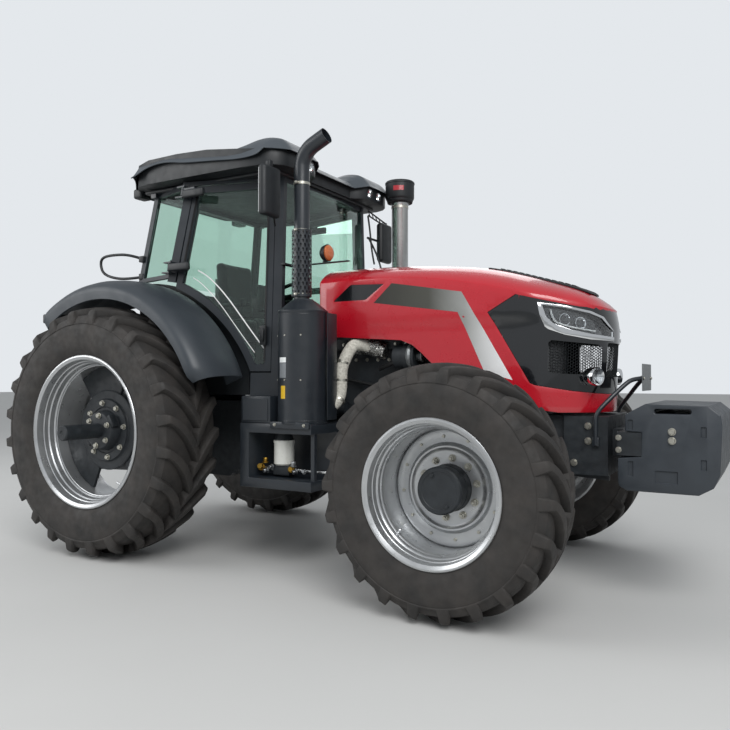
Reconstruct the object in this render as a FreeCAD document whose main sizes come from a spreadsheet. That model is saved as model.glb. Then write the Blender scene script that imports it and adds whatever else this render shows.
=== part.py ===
"""A four-wheel-drive farm tractor, modelled in millimetres.

+X points forward, +Y to the driver's left and +Z up. The origin is on the ground under the
middle of the overall box. Outlines in side view are drawn from the rear axle's centre
(x = 0) and from the ground (z = 0), and each body is then placed along the tractor.
"""
import FreeCAD
import Part
import os
from math import atan2, cos, degrees, pi, radians, sin, sqrt, tan

Vector = FreeCAD.Vector
DOC = FreeCAD.newDocument("farm_tractor")
SHEET = DOC.addObject("Spreadsheet::Sheet", "Sizes")

# Driving sizes: alias, millimetres or degrees, what it measures
SIZES = (
    ("front_overhang", 1341, "front axle to the front of the weights"),
    ("rear_overhang", 1400, "rear axle to the rear eyes of the lower links"),
    ("wheelbase", 2784, "rear axle to front axle"),
    ("front_tyre_radius", 700, "to the tips of the lugs"),
    ("front_tyre_width", 430, "section width"),
    ("front_lugs", 22, "lugs on each side of a front tyre"),
    ("front_rim_radius", 381, "bead seat, a 30 inch rim"),
    ("front_rim_width", 405, "over the flanges"),
    ("front_track", 2214, "between the middles of the front tyres"),
    ("front_well_radius", 346, "outside of the drop centre"),
    ("front_disc_offset", 84, "wheel disc's face inboard of the tyre's middle"),
    ("rear_tyre_radius", 923, "to the tips of the lugs"),
    ("rear_tyre_width", 530, "section width"),
    ("rear_lugs", 24, "lugs on each side of a rear tyre"),
    ("lug_height_part", 0.21, "height of the lugs as a part of the tyre's side"),
    ("rear_rim_radius", 533.4, "bead seat, a 42 inch rim"),
    ("rear_rim_width", 475, "over the flanges"),
    ("rear_track", 2058, "between the middles of the rear tyres"),
    ("rear_well_radius", 492, "outside of the drop centre"),
    ("rim_flange_height", 25, "flange above the bead seat"),
    ("rim_wall", 10, "sheet of the rims"),
    ("tyre_seat_gap", 0.3, "tyre's bore clear of the bead seat"),
    ("hub_cap_radius", 132, "front hub cap"),
    ("hub_cap_reach", 147, "front hub cap in front of the disc"),
    ("hub_drum_radius", 205, "front planetary drum behind the disc"),
    ("hub_drum_depth", 96, "front planetary drum behind the disc"),
    ("running_gap", 0.05, "radial clearance of shafts in their bores"),
    ("bar_axle_radius", 55, "rear bar axle"),
    ("bar_axle_half", 1435, "middle of the tractor to the bar axle's end"),
    ("kingpin_spacing", 1600, "between the king pins"),
    ("kingpin_radius", 30, "king pins"),
    ("knuckle_radius", 88, "round bosses of the knuckles"),
    ("knuckle_half_height", 172, "axle centre to the top of the knuckle"),
    ("axle_end_half_height", 98, "axle end's eye, half its height"),
    ("knuckle_gap", 4, "eye clear of the knuckle's bosses"),
    ("spindle_radius", 62, "wheel spindle on the knuckle"),
    ("steering_arm", 190, "king pin to the track rod's ball"),
    ("steering_rod_radius", 19, "rod through the steering cylinder"),
    ("steering_cylinder_radius", 42, "steering cylinder"),
    ("axle_tube_radius", 85, "front axle's tubes at the knuckles"),
    ("axle_bulb_radius", 185, "front axle's differential housing"),
    ("frame_half_width", 290, "front frame over its side plates"),
    ("frame_plate", 36, "front frame's side plates"),
    ("frame_top", 1082, "top of the front frame"),
    ("engine_half_width", 238, "engine block"),
    ("engine_bottom", 900, "engine block"),
    ("engine_top", 1640, "engine block"),
    ("engine_rear", 1400, "flywheel end of the engine"),
    ("engine_setback", 284, "fan end of the engine behind the front axle"),
    ("gearbox_half_width", 235, "transmission housing"),
    ("gearbox_bottom", 520, "transmission housing"),
    ("gearbox_top", 1130, "transmission housing"),
    ("trumpet_radius", 135, "rear axle trumpets"),
    ("trumpet_half", 690, "middle of the tractor to the trumpets' ends"),
    ("hood_rear", 1610, "rear edge of the hood"),
    ("nose_reach", 736, "front axle to the nose of the hood"),
    ("hood_half_width", 448, "hood at its sides"),
    ("hood_top", 2122, "crown of the hood at its rear"),
    ("hood_wall", 12, "hood panels with their ribs"),
    ("hood_hinge_x", 1640, "hood's hinge from the rear axle"),
    ("hood_hinge_height", 2060, "hood's hinge"),
    ("hood_hinge_half", 150, "hinge tube between its brackets, half"),
    ("hood_hinge_radius", 9, "hood's hinge pin"),
    ("hood_bottom", 1103, "bottom edge of the hood under the nose"),
    ("cab_floor_top", 1250, "cab floor"),
    ("cab_floor_thick", 60, "cab floor"),
    ("cab_tub_half_width", 640, "cab tub between the rear wheels"),
    ("cab_wall", 34, "cab walls, pillars and doors"),
    ("cab_shoulder", 820, "widest half width of the cab, at the rear pillars' feet"),
    ("cab_roof_line", 2790, "underside of the roof"),
    ("glass_thick", 6, "window glass"),
    ("roof_half_width", 870, "roof"),
    ("roof_rear", -230, "rear edge of the roof from the rear axle"),
    ("roof_front", 1560, "front edge of the roof from the rear axle"),
    ("roof_top", 3032, "top of the roof"),
    ("fender_radius", 1145, "fender over the rear axle, inboard"),
    ("fender_drop", 75, "fender's fall to its outer edge"),
    ("fender_outer", 1165, "middle of the tractor to the fender's outer edge"),
    ("fender_lip", 44, "fender's outer lip, height"),
    ("fender_wall", 8, "fender sheet"),
    ("door_gap", 12, "door clear of the fender and the pillars"),
    ("door_rise_gap", 42, "door's top edge below the roof"),
    ("door_bottom", 1362, "bottom edge of the doors"),
    ("muffler_radius", 170, "exhaust canister"),
    ("muffler_bottom", 1010, "exhaust canister"),
    ("muffler_top", 1762, "exhaust canister's straight side"),
    ("stack_x", 1560, "exhaust and intake stacks from the rear axle"),
    ("exhaust_y", 700, "exhaust stack from the middle"),
    ("intake_y", 740, "intake stack from the middle"),
    ("exhaust_pipe_radius", 49, "exhaust stack's pipe"),
    ("exhaust_shield_radius", 65, "perforated shield round the pipe"),
    ("intake_pipe_radius", 66, "intake pipe"),
    ("cleaner_radius", 130, "pre-cleaner's bowl"),
    ("cleaner_height", 198, "pre-cleaner's bowl"),
    ("cleaner_top", 3010, "pre-cleaner's bowl"),
    ("weight_half_width", 420, "stack of front weights"),
    ("weight_length", 553, "front weights along the tractor"),
    ("weight_top", 1170, "front weights"),
    ("weight_bottom", 662, "front weights"),
    ("carrier_half_width", 420, "weight carrier's beam"),
    ("link_pivot_back", 300, "lower links' front pivots behind the rear axle"),
    ("link_pivot_height", 560, "lower links' front pivots"),
    ("link_spacing", 870, "between the lower links' rear eyes"),
    ("link_eye_radius", 18.5, "ball bore of the lower links, category 3"),
    ("link_depth", 90, "lower links' bars, height"),
    ("link_thick", 36, "lower links' bars, thickness"),
    ("top_link_eye_radius", 15.9, "top link's ball bore, category 3"),
    ("lift_arm_length", 430, "rockshaft to the lift rods"),
    ("rockshaft_height", 1190, "rockshaft"),
    ("drawbar_pin_radius", 16, "drawbar's pin hole"),
    ("drawbar_width", 90, "drawbar"),
    ("drawbar_thick", 40, "drawbar"),
    ("drawbar_height", 420, "middle of the drawbar over the ground"),
    ("pto_radius", 17.45, "power take-off stub, 1 3/8 inch"),
    ("pto_height", 690, "power take-off stub"),
    ("pto_length", 90, "power take-off stub"),
    ("pto_journal_radius", 21, "power take-off shaft in its housing"),
    ("gearbox_rear", 300, "transmission's rear face behind the rear axle"),
    ("top_link_lean", 130, "stowed top link, its eye behind its pin"),
    ("top_link_rise", 720, "stowed top link, its eye above its pin"),
    ("steering_wheel_radius", 200, "rim of the steering wheel"),
    ("seat_width", 480, "seat cushion"),
    ("soft_gap", 0.3, "cushions clear of what carries them"),
)

for row, (alias, value, meaning) in enumerate(SIZES, start=1):
    SHEET.set("A%d" % row, meaning)
    SHEET.set("B%d" % row, str(value))
    SHEET.setAlias("B%d" % row, alias)
DOC.recompute()


class SheetSizes:
    """The spreadsheet's values as plain numbers, by their aliases."""

    def __getattr__(self, alias):
        return float(SHEET.get(alias))


s = SheetSizes()

# Places along the tractor, worked out from the sheet
REAR_AXLE = "(Sizes.rear_overhang - Sizes.wheelbase - Sizes.front_overhang) / 2"
FRONT_AXLE = "(Sizes.rear_overhang + Sizes.wheelbase - Sizes.front_overhang) / 2"
rear_x = (s.rear_overhang - s.wheelbase - s.front_overhang) / 2
front_reach = s.wheelbase + s.front_overhang
LEFT = 1
RIGHT = -1
SIDES = (("right", RIGHT), ("left", LEFT))
KEPT = {}


# Helpers: outlines

def corners(points):
    """Closed outline through (a, b) or (a, b, radius) corners, as lines and tangent arcs."""
    count = len(points)
    ends = []
    for index in range(count):
        here = Vector(points[index][0], points[index][1], 0)
        radius = points[index][2] if len(points[index]) > 2 else 0
        before = Vector(points[index - 1][0], points[index - 1][1], 0)
        after = Vector(points[(index + 1) % count][0], points[(index + 1) % count][1], 0)
        if not radius:
            ends.append((here, here, None))
            continue
        back = (before - here).normalize()
        on = (after - here).normalize()
        half = back.getAngle(on) / 2
        reach = radius / tan(half)
        middle = (back + on).normalize()
        centre = here + middle * (radius / sin(half))
        ends.append((here + back * reach, here + on * reach, centre - middle * radius))
    pieces = []
    for index in range(count):
        start, stop, bulge = ends[index]
        if bulge is not None:
            pieces.append(Part.Arc(start, bulge, stop))
        following = ends[(index + 1) % count][0]
        if (following - stop).Length > 1e-6:
            pieces.append(Part.LineSegment(stop, following))
    return pieces


def ring_of(radius, a=0, b=0):
    """A full circle as an outline."""
    return [Part.Circle(Vector(a, b, 0), Vector(0, 0, 1), radius)]


def wire(pieces):
    return Part.Wire(Part.__sortEdges__([piece.toShape() for piece in pieces]))


def side_face(pieces):
    """An outline of (x, z) points stood up in side view."""
    face = Part.Face(wire(pieces))
    face.rotate(Vector(0, 0, 0), Vector(1, 0, 0), 90)
    return face


def side_prism(points, y_low, y_high):
    face = side_face(corners(points))
    face.translate(Vector(0, y_low, 0))
    return face.extrude(Vector(0, y_high - y_low, 0))


def front_prism(points, x_low, x_high):
    """An outline of (y, z) points pushed along the tractor."""
    face = Part.Face(wire(corners(points)))
    turn = FreeCAD.Rotation(Vector(0, 1, 0), Vector(0, 0, 1), Vector(1, 0, 0), "ZXY")
    face.Placement = FreeCAD.Placement(Vector(x_low, 0, 0), turn)
    return face.extrude(Vector(x_high - x_low, 0, 0))


def plan_prism(points, z_low, z_high):
    face = Part.Face(wire(corners(points)))
    face.translate(Vector(0, 0, z_low))
    return face.extrude(Vector(0, 0, z_high - z_low))


def block(x_low, x_high, y_low, y_high, z_low, z_high):
    corner = Vector(x_low, y_low, z_low)
    return Part.makeBox(x_high - x_low, y_high - y_low, z_high - z_low, corner)


def rod(start, end, radius):
    start = Vector(*start)
    run = Vector(*end) - start
    return Part.makeCylinder(radius, run.Length, start, run)


def mirrored(shape):
    return shape.mirror(Vector(0, 0, 0), Vector(0, 1, 0))


def joined(*shapes):
    whole = shapes[0].multiFuse(list(shapes[1:])) if len(shapes) > 1 else shapes[0]
    return whole.removeSplitter()


# Helpers: document objects

def keep(thing, label):
    """Register a finished sub-part under the name of its file."""
    thing.Label = label
    KEPT[label] = thing
    return thing


def plane_of(body, role):
    return [item for item in body.Origin.OriginFeatures if item.Role == role][0]


def new_body(label, role, outlines):
    """A body with one sketch on its own origin plane."""
    body = DOC.addObject("PartDesign::Body", label)
    drawing = body.newObject("Sketcher::SketchObject", label + "_outline")
    drawing.AttachmentSupport = (plane_of(body, role), [""])
    drawing.MapMode = "FlatFace"
    for outline in outlines:
        drawing.addGeometry(outline, False)
    return body, drawing


def place(thing, x=REAR_AXLE, y="0", z="0"):
    thing.setExpression(".Placement.Base.x", x)
    thing.setExpression(".Placement.Base.y", y)
    thing.setExpression(".Placement.Base.z", z)


def pad_body(label, role, outlines, length):
    """A plate or block padded both ways from its sketch."""
    body, drawing = new_body(label, role, outlines)
    pad = body.newObject("PartDesign::Pad", label + "_pad")
    pad.Profile = drawing
    pad.SideType = "Symmetric"
    pad.setExpression("Length", length)
    return body


def turned_body(label, role, outlines, axis, angle=360):
    """A body turned about its sketch's H_Axis or V_Axis."""
    body, drawing = new_body(label, role, outlines)
    turn = body.newObject("PartDesign::Revolution", label + "_turn")
    turn.Profile = drawing
    turn.ReferenceAxis = (drawing, [axis])
    turn.Angle = angle
    return body


def shaped(label, shape, x=rear_x):
    """A sub-part whose shape is worked out in code, then placed along the tractor."""
    thing = DOC.addObject("Part::Feature", label)
    thing.Shape = shape
    thing.Placement = FreeCAD.Placement(Vector(x, 0, 0), FreeCAD.Rotation())
    return keep(thing, label)


def side_sign(side):
    return "" if side == LEFT else "-"


# Wheels

def flat_sided(rings, closed):
    """A solid of flat faces between rings of corners, closed round an axle or capped at both ends."""
    following = rings[1:] + rings[:1] if closed else rings[1:]
    faces = []
    for low, high in zip(rings, following):
        for index in range(len(low)):
            after = (index + 1) % len(low)
            faces.append([low[index], low[after], high[after], high[index]])
    if not closed:
        faces += [rings[0], rings[-1]]
    shell = Part.Shell([Part.Face(Part.makePolygon(face + face[:1])) for face in faces])
    solid = Part.Solid(shell)
    if solid.Volume < 0:
        solid.reverse()
    return solid


def tyre_half(radius, width, rim_radius, rim_width, lugs, half_steps):
    """Left half of a tyre as a ring of flat facets, each with one straight lug on the tread."""
    facet = 2 * pi / lugs
    half = width / 2
    bead = rim_width / 2 - s.rim_wall - s.tyre_seat_gap
    bore = (rim_radius + s.tyre_seat_gap) / cos(facet / 2)
    lip = rim_radius + s.rim_flange_height + 6
    side = radius - lip
    tread = lip + side * (1 - s.lug_height_part)
    profile = [(0, bore), (bead, bore), (bead, lip), (half, lip + side * 0.45), (half * 0.95, tread), (0, tread)]

    # A lug runs from the tread's middle back to its shoulder, lower and wider towards its foot
    tip = radius / cos(facet / 4)
    sweep = tip * facet * 0.35
    thick = radius * 0.029
    fall = radius * 0.03
    plan = Vector(-2 * sweep, half * 0.83, 0).normalize()
    across = Vector(-plan.y, plan.x, 0)
    corner_x = sweep + thick * plan.y
    start = Vector(sweep, half * 0.06, sqrt(tip ** 2 - corner_x ** 2))
    stop = Vector(-sweep, half * 0.89, start.z - fall)
    flare = thick * 0.15
    sink = Vector(0, 0, -side * (s.lug_height_part + 0.06))
    crest = [start - across * thick, start + across * thick, stop + across * thick, stop - across * thick]
    wide = across * (thick + flare)
    along = (stop - start).normalize()
    near = start - along * flare + sink
    far = stop + along * flare + sink
    foot = [near - wide, near + wide, far + wide, far - wide]
    lug = flat_sided([foot, crest], False)

    # Turned so that the crest's outermost corner stands a quarter of the pitch from the lowest point
    turn = pi - atan2(corner_x, start.z) + facet / 4 * half_steps
    rings = []
    for index in range(lugs):
        angle = facet * (index + 0.5) + turn
        rings.append([Vector(r * sin(angle), across_at, r * cos(angle)) for across_at, r in profile])
    copies = []
    for index in range(lugs):
        copy = lug.copy()
        copy.rotate(Vector(0, 0, 0), Vector(0, 1, 0), degrees(facet * index + turn))
        copies.append(copy)
    return flat_sided(rings, True).multiFuse(copies)


def tyre(label, axle, track, height, sizes, lugs):
    """A tyre of two halves, half a lug apart, that stands on two lugs' tips."""
    left = tyre_half(*sizes, int(lugs), 1)
    right = mirrored(tyre_half(*sizes, int(lugs), -1))
    thing = DOC.addObject("Part::Feature", label)
    thing.Shape = left.fuse(right).removeSplitter()
    place(thing, axle, track, height)
    keep(thing, label)


def barrel_points(rim_radius, rim_width, well_radius):
    """Rim sheet as (across, radius) points: flange, bead seat, drop centre, seat, flange."""
    half = rim_width / 2
    wall = s.rim_wall
    tip = rim_radius + s.rim_flange_height
    seat = half * 0.56
    well = half * 0.36
    back_seat = half * 0.78
    back_well = half * 0.62
    lead = wall * 0.4
    outside = [(-half + wall, tip), (-half + wall, rim_radius), (-back_seat, rim_radius),
               (-back_well, well_radius), (well, well_radius), (seat, rim_radius),
               (half - wall, rim_radius), (half - wall, tip)]
    inside = [(half, tip), (half, rim_radius - wall), (seat + lead, rim_radius - wall),
              (well + lead, well_radius - wall), (-back_well - lead, well_radius - wall),
              (-back_seat - lead, rim_radius - wall), (-half, rim_radius - wall), (-half, tip)]
    return outside + inside


def outboard(points, side):
    """Turn (across, radius) points so that + is outboard on either side."""
    return [(side * point[0],) + tuple(point[1:]) for point in points]


def front_wheel(name, side):
    z = "Sizes.front_tyre_radius"
    y = side_sign(side) + "Sizes.front_track / 2"
    tyre("tyre_front_" + name, FRONT_AXLE, y, z, (s.front_tyre_radius, s.front_tyre_width, s.front_rim_radius,
                                                  s.front_rim_width), s.front_lugs)

    face = -s.front_disc_offset
    disc = s.rim_wall + 4
    bore = s.hub_cap_radius + 2
    well_inside = s.front_well_radius - s.rim_wall
    barrel = barrel_points(s.front_rim_radius, s.front_rim_width, s.front_well_radius)
    dish = [(face - 20, well_inside + 4), (face - 6, well_inside - 46), (face - 6, well_inside - 96),
            (face + 12, well_inside - 122), (face, well_inside - 140), (face, bore),
            (face - disc, bore), (face - disc, well_inside - 140),
            (face + 12 - disc, well_inside - 122), (face - 6 - disc, well_inside - 96),
            (face - 6 - disc, well_inside - 46), (face - 20 - disc, well_inside + 4)]
    rim = turned_body("barrel_front_" + name, "YZ_Plane", [corners(outboard(barrel, side))], "H_Axis")
    plate = turned_body("disc_front_" + name, "YZ_Plane", [corners(outboard(dish, side))], "H_Axis")
    whole = DOC.addObject("Part::Fuse", "rim_front_" + name)
    whole.Base = rim
    whole.Tool = plate
    place(whole, FRONT_AXLE, y, z)
    keep(whole, "rim_front_" + name)

    spindle = s.spindle_radius + s.running_gap
    back = face - disc
    drum_back = back - s.hub_drum_depth
    cap_front = face + s.hub_cap_reach
    cap = s.hub_cap_radius
    hub = [(drum_back, spindle), (drum_back, s.hub_drum_radius - 12, 0), (drum_back + 20, s.hub_drum_radius),
           (back, s.hub_drum_radius), (back, cap), (cap_front - 14, cap), (cap_front, cap - 14),
           (cap_front, 0), (face + 40, 0), (face + 40, spindle)]
    hub_body = turned_body("hub_front_" + name, "YZ_Plane", [corners(outboard(hub, side))], "H_Axis")
    place(hub_body, FRONT_AXLE, y, z)
    keep(hub_body, "hub_front_" + name)


def cast_lobes():
    """Side view of the rear cast centre: a round hub with three broad lobes to the rim."""
    reach = s.rear_well_radius - s.rim_wall - s.soft_gap
    hub = reach * 0.62
    shape = Part.makeCylinder(hub, 40, Vector(0, -20, 0), Vector(0, 1, 0))
    half = 32
    for middle in (-22, 98, 218):
        ray_a = radians(middle - half)
        ray_b = radians(middle + half)
        ray_m = radians(middle)
        inner = hub * 0.5
        outline = [
            Part.LineSegment(Vector(inner * cos(ray_b), inner * sin(ray_b), 0),
                             Vector(inner * cos(ray_a), inner * sin(ray_a), 0)),
            Part.LineSegment(Vector(inner * cos(ray_a), inner * sin(ray_a), 0),
                             Vector(reach * cos(ray_a), reach * sin(ray_a), 0)),
            Part.Arc(Vector(reach * cos(ray_a), reach * sin(ray_a), 0),
                     Vector(reach * cos(ray_m), reach * sin(ray_m), 0),
                     Vector(reach * cos(ray_b), reach * sin(ray_b), 0)),
            Part.LineSegment(Vector(reach * cos(ray_b), reach * sin(ray_b), 0),
                             Vector(inner * cos(ray_b), inner * sin(ray_b), 0)),
        ]
        face = side_face(outline)
        face.translate(Vector(0, -14, 0))
        shape = shape.fuse(face.extrude(Vector(0, 28, 0)))
    return shape.removeSplitter()


def rear_wheel(name, side):
    z = "Sizes.rear_tyre_radius"
    y = side_sign(side) + "Sizes.rear_track / 2"
    tyre("tyre_rear_" + name, REAR_AXLE, y, z, (s.rear_tyre_radius, s.rear_tyre_width, s.rear_rim_radius,
                                                s.rear_rim_width), s.rear_lugs)

    barrel = barrel_points(s.rear_rim_radius, s.rear_rim_width, s.rear_well_radius)
    rim = turned_body("rim_rear_" + name, "YZ_Plane", [corners(outboard(barrel, side))], "H_Axis")
    place(rim, REAR_AXLE, y, z)
    keep(rim, "rim_rear_" + name)

    middle = s.rear_track / 2
    centre = cast_lobes()
    if side == LEFT:
        centre = centre.mirror(Vector(0, 0, 0), Vector(0, 1, 0))
    centre.translate(Vector(0, -20, 0) if side == LEFT else Vector(0, 20, 0))
    clamp = rod((0, side * (-75), 0), (0, side * 95, 0), 150)
    inner = s.trumpet_half - 60 - middle
    bar = rod((0, side * inner, 0), (0, side * (s.bar_axle_half - middle), 0), s.bar_axle_radius)
    whole = joined(centre, clamp, bar)
    whole = whole.common(rod((0, side * -600, 0), (0, side * 600, 0), s.rear_well_radius - s.rim_wall))
    thing = DOC.addObject("Part::Feature", "hub_rear_" + name)
    thing.Shape = whole
    place(thing, REAR_AXLE, y, z)
    keep(thing, "hub_rear_" + name)


for name, side in SIDES:
    front_wheel(name, side)
    rear_wheel(name, side)


# Front axle, knuckles and steering

pin_x = s.wheelbase
pin_y = s.kingpin_spacing / 2
axle_z = s.front_tyre_radius
ball_x = pin_x - s.steering_arm
ball_y = pin_y - 45
rod_z = axle_z + 40


def front_axle():
    tube = s.axle_tube_radius
    bulb = s.axle_bulb_radius
    outline = [(-pin_y + 20, 0), (-pin_y + 20, tube), (-260, tube + 18), (-130, bulb, 60), (130, bulb, 60),
               (260, tube + 18), (pin_y - 20, tube), (pin_y - 20, 0)]
    beam = Part.Face(wire(corners(outline))).revolve(Vector(0, 0, 0), Vector(1, 0, 0), 360)
    beam.rotate(Vector(0, 0, 0), Vector(0, 0, 1), 90)
    beam.translate(Vector(pin_x, 0, axle_z))
    input_housing = rod((pin_x - 400, 0, axle_z), (pin_x, 0, axle_z), 78)
    nose = rod((pin_x, 0, axle_z), (pin_x + 290, 0, axle_z), 60)
    shape = joined(beam, input_housing, nose)
    for side in (LEFT, RIGHT):
        half = s.axle_end_half_height
        eye = rod((pin_x, side * pin_y, axle_z - half), (pin_x, side * pin_y, axle_z + half), s.knuckle_radius - 10)
        shape = shape.fuse(eye)
    for side in (LEFT, RIGHT):
        bore = rod((pin_x, side * pin_y, axle_z - 200), (pin_x, side * pin_y, axle_z + 200),
                   s.kingpin_radius + s.running_gap)
        shape = shape.cut(bore)
    barrel = rod((ball_x, -250, rod_z), (ball_x, 250, rod_z), s.steering_cylinder_radius)
    for y in (-200, 200):
        lug = block(ball_x - 25, pin_x - 40, y - 22, y + 22, rod_z - 40, rod_z + 40)
        shape = shape.fuse(lug)
    bore = rod((ball_x, -300, rod_z), (ball_x, 300, rod_z), s.steering_rod_radius + s.running_gap)
    return shape.fuse(barrel).cut(bore).removeSplitter()


shaped("front_axle", front_axle())


def knuckle(side):
    """Fork with its king pin, wheel spindle and steering arm, drawn on the left."""
    top = axle_z + s.knuckle_half_height
    low = axle_z - s.knuckle_half_height
    eye = s.axle_end_half_height + s.knuckle_gap
    radius = s.knuckle_radius
    disc_back = s.front_track / 2 - s.front_disc_offset - s.rim_wall - 4
    web_face = disc_back - s.hub_drum_depth - 6
    web_y = pin_y + radius - 10 + s.knuckle_gap + 2
    upper = rod((pin_x, pin_y, axle_z + eye), (pin_x, pin_y, top), radius)
    lower = rod((pin_x, pin_y, low), (pin_x, pin_y, axle_z - eye), radius)
    arms = block(pin_x - radius, pin_x + radius, pin_y, web_face, low, top)
    gap = block(pin_x - 120, pin_x + 120, pin_y - 120, web_y, axle_z - eye, axle_z + eye)
    flange = rod((pin_x, web_y, axle_z), (pin_x, web_face, axle_z), s.knuckle_half_height)
    pin = rod((pin_x, pin_y, low + 8), (pin_x, pin_y, top - 8), s.kingpin_radius)
    spindle = rod((pin_x, web_y + 2, axle_z), (pin_x, disc_back + 40, axle_z), s.spindle_radius)
    lever = plan_prism([(pin_x - 20, pin_y - 60), (ball_x - 34, ball_y - 30, 20), (ball_x - 34, ball_y + 34, 20),
                        (pin_x - 20, pin_y + 60)], axle_z - eye - 34, axle_z - eye)
    post = rod((ball_x, ball_y, axle_z - eye - 20), (ball_x, ball_y, rod_z - s.steering_rod_radius - 14), 15)
    shape = joined(upper, lower, arms, flange).cut(gap)
    shape = joined(shape, pin, spindle, lever, post)
    return shape if side == LEFT else mirrored(shape)


for name, side in SIDES:
    shaped("knuckle_" + name, knuckle(side))


def steering_rod():
    """Double-ended rod of the steering cylinder with an eye over each knuckle's ball."""
    shape = rod((ball_x, -ball_y, rod_z), (ball_x, ball_y, rod_z), s.steering_rod_radius)
    for side in (LEFT, RIGHT):
        eye = rod((ball_x, side * ball_y, rod_z - s.steering_rod_radius),
                  (ball_x, side * ball_y, rod_z + s.steering_rod_radius), 30)
        shape = shape.fuse(eye)
    return shape.removeSplitter()


shaped("steering_rod", steering_rod())


# Front frame, weight carrier, weights and plate

hood_front = s.wheelbase + s.nose_reach
bolster_front = hood_front - 20


def front_frame():
    half = s.frame_half_width
    plate = s.frame_plate
    top = s.frame_top
    outline = [(pin_x - 804, top), (pin_x - 804, 880), (pin_x - 404, 850, 40), (pin_x - 224, 905, 60),
               (pin_x + 216, 905, 60), (pin_x + 326, 820, 40), (pin_x + 416, 720, 30), (bolster_front, 700),
               (bolster_front, top)]
    shape = side_prism(outline, half - plate, half)
    shape = shape.fuse(mirrored(shape))
    bolster = block(bolster_front - 260, bolster_front, -half - 30, half + 30, 730, top)
    front_stand = block(pin_x + 262, pin_x + 330, -half + 10, half - 10, 640, 960)
    rear_stand = block(pin_x - 420, pin_x - 345, -half + 10, half - 10, 640, s.engine_bottom - s.soft_gap)
    shape = joined(shape, bolster, front_stand, rear_stand)
    bore = rod((pin_x - 500, 0, axle_z), (pin_x - 200, 0, axle_z), 78 + s.soft_gap)
    nose_bore = rod((pin_x + 200, 0, axle_z), (pin_x + 310, 0, axle_z), 60 + s.soft_gap)
    return shape.cut(bore).cut(nose_bore).removeSplitter()


shaped("front_frame", front_frame())

weight_front = front_reach
weight_rear = weight_front - s.weight_length
carrier_low = 868
carrier_high = 1002
hook_x = weight_rear + 135


def weight_points():
    low = s.weight_bottom
    high = s.weight_top
    return [(weight_rear, carrier_high + 8, 8), (weight_rear, high - 62, 14), (weight_rear + 152, high, 30),
            (weight_front - 68, high, 40), (weight_front, high - 60, 30), (weight_front, low + 110, 40),
            (weight_front - 120, low, 60), (weight_rear + 50, low, 20), (weight_rear, low + 50, 20),
            (weight_rear, carrier_low - 8, 8), (hook_x, carrier_low - 8, 8), (hook_x, carrier_high + 8, 8)]


WEIGHT_SLABS = 14
WEIGHT_SEAM = 4
WEIGHT_SEAM_DEPTH = 7


def front_weights():
    """Weight slabs side by side with a seam between two, hung on the carrier, with a slot for the hands."""
    half = s.weight_half_width
    stack = side_prism(weight_points(), -half, half)
    zone = [(a, b) for a, b in ((weight_rear, s.weight_bottom), (weight_front, s.weight_top))]
    pitch = 2 * half / WEIGHT_SLABS
    depth = WEIGHT_SEAM_DEPTH
    for index in range(1, WEIGHT_SLABS):
        y = index * pitch - half - WEIGHT_SEAM / 2
        front = block(zone[1][0] - depth, zone[1][0] + 1, y, y + WEIGHT_SEAM, zone[0][1] + 110, zone[1][1] - 60)
        top = block(zone[0][0] + 152, zone[1][0] - 68, y, y + WEIGHT_SEAM, zone[1][1] - depth, zone[1][1] + 1)
        stack = stack.cut(front.fuse(top))
    slot = side_prism([(weight_rear + 201, s.weight_top - 55, 9), (weight_rear + 392, s.weight_top - 55, 9),
                       (weight_rear + 392, s.weight_top - 33, 9), (weight_rear + 201, s.weight_top - 33, 9)],
                      -half - 1, half + 1)
    return stack.cut(slot)


shaped("front_weights", front_weights())


def weight_carrier():
    half = s.carrier_half_width
    beam = block(weight_rear - 1, hook_x - 1, -half, half, carrier_low, carrier_high)
    arms = block(bolster_front, weight_rear - 1, -180, 180, carrier_low - 30, carrier_high)
    return joined(beam, arms)


shaped("weight_carrier", weight_carrier())

PLATE_HALF = 163
PLATE_LOW = 1235
PLATE_HIGH = 1400
PLATE_TUBE = 11


def number_plate():
    """Blank plate on two bent tubes that stand on the bolster's sides."""
    plate_x = hood_front + 149
    shape = block(plate_x, plate_x + 4, -PLATE_HALF, PLATE_HALF, PLATE_LOW, PLATE_HIGH)
    side_y = s.frame_half_width + 30 + PLATE_TUBE
    foot_x = bolster_front - 66
    for side in (LEFT, RIGHT):
        places = [Vector(foot_x, side * side_y, 913), Vector(foot_x, side * side_y, 1098),
                  Vector(plate_x - 62, side * 200, 1290), Vector(plate_x, side * 150, 1312)]
        for a, b in zip(places, places[1:]):
            shape = shape.fuse(rod(a, b, PLATE_TUBE))
        for point in places[1:3]:
            shape = shape.fuse(Part.makeSphere(PLATE_TUBE, point))
        clip = block(plate_x - 8, plate_x + 2, side * 140 - 20, side * 140 + 20, 1296, 1328)
        shape = shape.fuse(clip)
    return shape.removeSplitter()


shaped("number_plate", number_plate())


# Engine, cooling pack, transmission and rear axle

engine_box = DOC.addObject("Part::Box", "engine_casting")
engine_box.setExpression("Length", "Sizes.wheelbase - Sizes.engine_setback - Sizes.engine_rear - 2 * Sizes.soft_gap")
engine_box.setExpression("Width", "Sizes.engine_half_width * 2")
engine_box.setExpression("Height", "Sizes.engine_top - Sizes.engine_bottom")
place(engine_box, "Sizes.engine_rear + Sizes.soft_gap", "-Sizes.engine_half_width", "Sizes.engine_bottom")
engine_pieces = [engine_box]
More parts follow.
